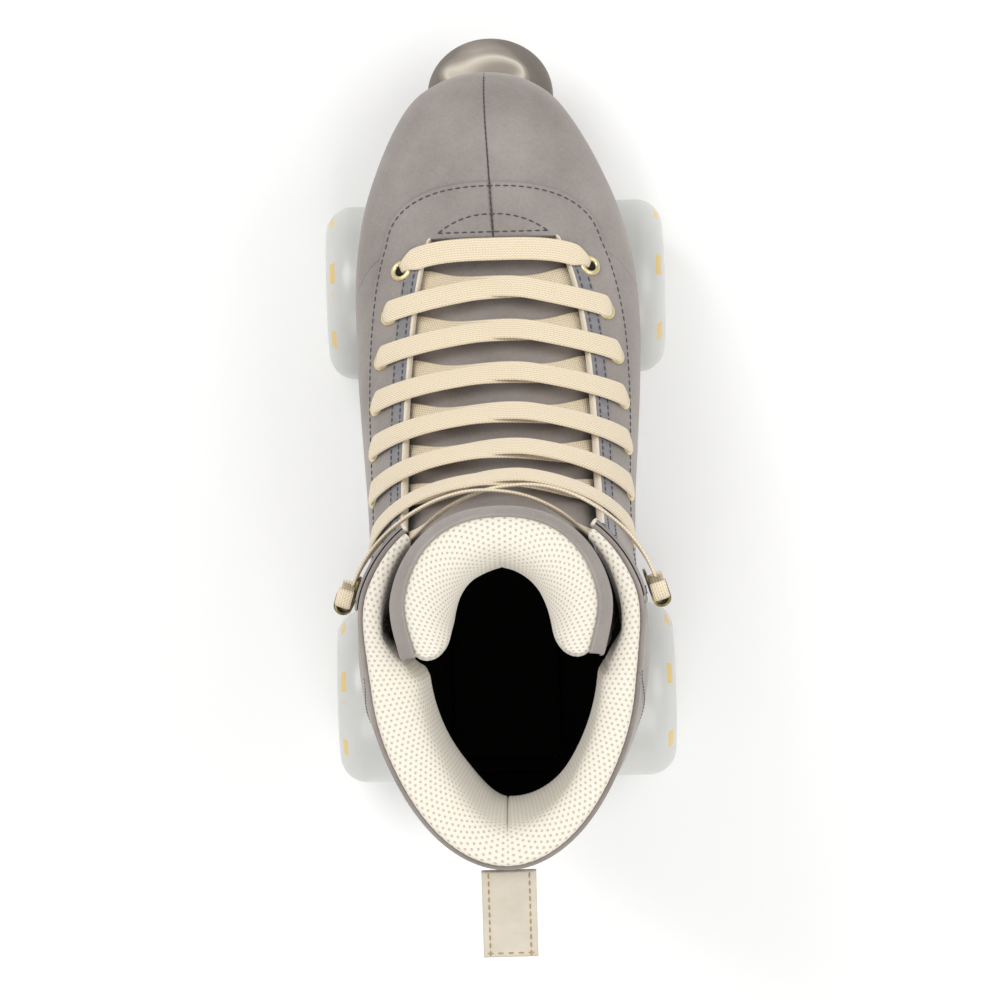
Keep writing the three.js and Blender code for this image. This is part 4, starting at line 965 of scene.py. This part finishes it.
# The midsole's face toward the foot takes the dark felt: painted shade inside the boot.
midsole = piece_of("rubber_midsole", *closed(*midsole_grids(0.6, 1.5)), gum, inner=painted_shade_inside)
heel = piece_of("stacked_heel", *slab(
    -32, SOLE_REAR + 2, lambda y: np.full_like(y, PLATE_TOP + 0.3),
    lambda y: underside(y) - 6.9, 0.94, 1.2), gum)
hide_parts("heel_block")


def board_low(y):
    return underside(y) + LEATHER + 2.4


board = piece_of("fibre_board", *slab(
    138, -98, board_low, lambda y: board_low(y) + 2, 0.52, 0.5), felt_and_painted_shade)
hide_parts("insole_board")
footbed = piece_of("foam_footbed", *slab(138, -93, lambda y: board_low(y) + 2.3,
                                         lambda y: board_low(y) + 6.3, 0.6, 1.6), felt_and_painted_shade)
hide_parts("footbed")

# ---------------------------------------------------------------- pull tab
# A folded strip of cream leather sewn into the collar at the heel, two rows of stitches along it.
cream_leather = pebbled("cream_leather", "#b9af9d", "#cec6b7", 120, 0.3, roughness=0.62)
TAB_W, TAB_L, TAB_T, DROOP = 18.5, 30.0, 2.8, math.radians(18)
root = skin(U_TOP - 0.35, 1.0, 0.3)[0] + np.array([0, -0.6, 0])
run = np.linspace(0, TAB_L + TAB_T / 2, 50)
along = np.array([0, -math.cos(DROOP), -math.sin(DROOP)])
raised = np.array([0, -math.sin(DROOP), math.cos(DROOP)])
bow = 0.35 * np.sin(run / 30 * 2 * np.pi)
path = root + run[:, None] * along + (TAB_T / 2 + bow)[:, None] * raised
nose = np.sqrt(np.clip(1 - (np.clip(run - TAB_L, 0, 1.38) / (TAB_T / 2)) ** 2, 0, 1))
points, faces, uv = sweep_along(path, np.tile(raised, (50, 1)), TAB_W, TAB_T * 0.86, 40, 9)
points = points.reshape(50, 40, 3)
middle = points.mean(axis=1, keepdims=True)
flat = ((points - middle) @ raised)[..., None] * raised
points = (points - flat + flat * nose[:, None, None]).reshape(-1, 3)
tab = piece_of("leather_pull_tab", points, faces, cream_leather, "tab", uv=uv)
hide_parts("pull_tab")
ochre = speckled("waxed_linen_thread", "#8d7347", "#b79a66", 1200, Roughness=0.6)
across = np.array([1.0, 0, 0])
ROW_X = 6.9
on_top = raised * (TAB_T * 0.43 + 0.05)
runs = [path[2:-3] + across * x + on_top for x in (-ROW_X, ROW_X)]
runs.append(path[-4] + on_top + np.linspace(-ROW_X, ROW_X, 30)[:, None] * across)
tab_stitches = sew("pull_tab_stitching", runs, ochre, body="tab")

# ---------------------------------------------------------------- plate, trucks and bolts
# A moulded nylon plate carries two cast aluminium trucks, each a hanger held on its kingpin
# between two urethane cushions with its nose in a pivot cup; the hardware is zinc-plated steel.
ROUGHCAST = {"span": (0.3, 0.7), "noise": {"Detail": 5, "Roughness": 0.6}}
cast_aluminium = speckled("cast_aluminium", "#a4a6a7", "#c2c4c5", 700, 0.35,
                          Metallic=1.0, Roughness=0.42, **ROUGHCAST)
zinc_steel = speckled("zinc_plated_steel", "#a9abac", "#cfd1d2", 350, 0.08,
                      Metallic=1.0, Roughness=0.28, **ROUGHCAST)
nylon = speckled("moulded_nylon", "#857f7a", "#97918b", 500, 0.3, Roughness=0.5, **ROUGHCAST)
cushion_urethane = speckled("cast_urethane", "#e0d8c8", "#efe8da", 90, 0.1,
                            Roughness=0.45, **ROUGHCAST)

for place in ("front", "rear"):
    edge_broken(f"{place}_hanger", f"{place}_hanger_casting", cast_aluminium, 0.8, 3)
    edge_broken(f"{place}_axle", f"{place}_axle_rod", zinc_steel)
    edge_broken(f"{place}_kingpin", f"{place}_kingpin_bolt", zinc_steel)
    edge_broken(f"{place}_kingpin_nut", f"{place}_kingpin_locknut", zinc_steel)
    edge_broken(f"{place}_pivot_cup", f"{place}_pivot_bush", cushion_urethane)
    for level in ("upper", "lower"):
        edge_broken(f"{place}_cushion_{level}", f"{place}_{level}_cushion_ring", cushion_urethane,
                    0.6, 3)
    for hand in ("medial", "lateral"):
        for node, name in ((f"{place}_axle_nut_{hand}", "axle_locknut"),
                           (f"plate_bolt_{place}_{hand}", "plate_screw")):
            edge_broken(node, f"{place}_{hand}_{name}", zinc_steel, 0.4)
edge_broken("plate", "nylon_plate", nylon, 0.7, 3)
edge_broken("toe_stop_nut", "toe_stop_locknut", zinc_steel, 0.5)
edge_broken("toe_stop_stem", "toe_stop_threaded_stem", zinc_steel, 0.5)

# ---------------------------------------------------------------- wheels and bearings
# Four cast urethane wheels, 65 by 38 mm, milky and a little translucent, with a broad rounded
# outer shoulder that carries a ring of plain yellow dashes. Each turns on two shielded bearings.
WHEEL_R, WHEEL_W, TRACK_OUT = 32.5, 38.0, 63.2
BEARING_SEATS, DASHES = (("inner", 28.2), ("outer", 49.2)), 7


def arc(centre, radius, start, end, count):
    angle = np.radians(np.linspace(start, end, count))
    return [(centre[0] + radius * math.sin(a), centre[1] + radius * -math.cos(a)) for a in angle]


shoulder = arc((22.5, 9), 10, 90, 180, 12)
tread = [(8.0, -8.7), (11.4, -8.7), (11.4, -16.0), (13.3, -16.0), (14.0, -16.4), (14.7, -18.4),
         (15.5, -18.9), *arc((26.5, -13), 6, 0, 90, 8), *shoulder,
         (18.6, 19.0), (17.2, 18.7), (16.4, 17.8), (15.4, 12.8), (14.6, 12.1), (11.4, 12.0),
         (11.4, 4.7), (8.0, 4.7)]
strides = np.linalg.norm(np.diff(np.array(tread), axis=0), axis=1)
lengths = np.concatenate([[0], np.cumsum(strides)]) / 1000
first_print = lengths[tread.index(shoulder[5])]
last_print = lengths[tread.index(shoulder[7])]

# Cast urethane: light enters and scatters, so the shade is soft and the edges glow a little.
wheel_urethane, tree, surface = new_material(
    "milky_cast_urethane", Roughness=0.32, Subsurface_Weight=0.45, Subsurface_Scale=0.008,
    Coat_Weight=0.25, Coat_Roughness=0.2)
surface.inputs["Subsurface Radius"].default_value = (1.0, 0.9, 0.8)
where = add(tree, "ShaderNodeTexCoord").outputs["Object"]
haze = add(tree, "ShaderNodeTexNoise", {"Vector": where, "Scale": 35, "Detail": 3})
milk = add(tree, "ShaderNodeValToRGB", {"Fac": haze.outputs["Fac"]})
for element, tone in zip(milk.color_ramp.elements, ("#bfc0bd", "#cfcfcc")):
    element.color = to_linear(tone)
cloth = add(tree, "ShaderNodeUVMap", uv_map="cloth").outputs[0]
axes = add(tree, "ShaderNodeSeparateXYZ", {0: cloth})
dash = add(tree, "ShaderNodeMath", {0: axes.outputs[0], 1: 2 * math.pi * DASHES},
           operation="MULTIPLY")
dash = add(tree, "ShaderNodeMath", {0: dash.outputs[0]}, operation="SINE")
dash = add(tree, "ShaderNodeMath", {0: dash.outputs[0], 1: 0.6}, operation="GREATER_THAN")
band = add(tree, "ShaderNodeMath", {0: axes.outputs[1], 1: (first_print + last_print) / 2,
                                    2: (last_print - first_print) / 2}, operation="COMPARE")
printed = add(tree, "ShaderNodeMath", {0: dash.outputs[0], 1: band.outputs[0]},
              operation="MULTIPLY")
printed = add(tree, "ShaderNodeMath", {0: printed.outputs[0], 1: 0.7}, operation="MULTIPLY")
colour = add(tree, "ShaderNodeMix", {"Factor": printed.outputs[0], "A": milk.outputs["Color"],
                                     "B": to_linear("#e0b830")}, data_type="RGBA")
tree.links.new(next(o for o in colour.outputs if o.type == "RGBA"), surface.inputs["Base Color"])

bearing_steel = speckled("ground_bearing_steel", "#9da0a2", "#d3d5d6", 500, 0.05,
                         Metallic=1.0, Roughness=0.22, **ROUGHCAST)
RACE = [(4.07, 0.2), (4.3, 0), (5.3, 0), (5.5, 0.5), (9.2, 0.5), (9.4, 0), (10.8, 0), (11, 0.2),
        (11, 6.8), (10.8, 7), (9.4, 7), (9.2, 6.5), (5.5, 6.5), (5.3, 7), (4.3, 7), (4.07, 6.8)]
for place, y in (("front", FRONT_AXLE_Y), ("rear", FRONT_AXLE_Y - WHEELBASE)):
    for side, hand in HANDS:
        body = f"{place}_{hand}_wheel"
        centre = (side * (TRACK_OUT - WHEEL_W / 2), y, WHEEL_R)
        points, faces, uv = turned_piece(tread, centre, (side, 0, 0), 96)
        wheel = piece_of(f"{place}_{hand}_tyre", points, faces, wheel_urethane, body, uv=uv)
        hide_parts(f"{place}_wheel_{hand}")
        for seat, x in BEARING_SEATS:
            race = piece_of(f"{place}_{hand}_{seat}_bearing", *turned_piece(
                RACE, (side * x, y, WHEEL_R), (side, 0, 0), 48)[:2], bearing_steel, body)
            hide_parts(f"{place}_bearing_{seat}_{hand}")

# ---------------------------------------------------------------- toe stop
# A moulded stopper of marbled rubber, taupe with cream swirls, on a threaded stem through the
# plate's nose; the stem screws it up or down and a nut locks it.
STOP_R, STOP_T, STOP_TILT, STOP_FACE = 23.7, 20.0, math.radians(32), (0, 154.3, 28)
marble, tree, surface = new_material("marbled_rubber", Roughness=0.75)
where = add(tree, "ShaderNodeTexCoord").outputs["Object"]
swirl = add(tree, "ShaderNodeTexNoise",
            {"Vector": where, "Scale": 20, "Detail": 2, "Distortion": 1.2})
ramp = add(tree, "ShaderNodeValToRGB", {"Fac": swirl.outputs["Fac"]})
bands = ramp.color_ramp
bands.elements[0].position, bands.elements[0].color = 0.36, to_linear("#6d655c")
bands.elements[1].position, bands.elements[1].color = 0.72, to_linear("#766e64")
for position, code in ((0.47, "#746c63"), (0.52, "#978e84"), (0.55, "#cfc6b8"),
                       (0.6, "#958c82"), (0.65, "#7f776d")):
    bands.elements.new(position).color = to_linear(code)
tree.links.new(ramp.outputs["Color"], surface.inputs["Base Color"])
grit = add(tree, "ShaderNodeTexNoise", {"Vector": where, "Scale": 1100, "Detail": 2})
bump = add(tree, "ShaderNodeBump",
           {"Height": grit.outputs["Fac"], "Strength": 0.25, "Distance": 0.0003})
tree.links.new(bump.outputs["Normal"], surface.inputs["Normal"])
pad_profile = [(0.01, 0), (20.4, 0), *arc((STOP_R - 2.5, 2.5), 2.5, 0, 90, 6)[1:], (STOP_R, 9),
               (23.4, 12), (22.4, 15), (20.9, 17), (19.2, 18.8), (17.7, 19.8), (16.6, STOP_T),
               (5.3, STOP_T), (5.3, 6), (0.01, 6)]
stem_way = (0, -math.sin(STOP_TILT), math.cos(STOP_TILT))
points, faces, uv = turned_piece(pad_profile, STOP_FACE, stem_way, 96)
stopper = piece_of("marbled_stopper", points, faces, marble, "toe_stop_unit", uv=uv)
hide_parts("toe_stop")
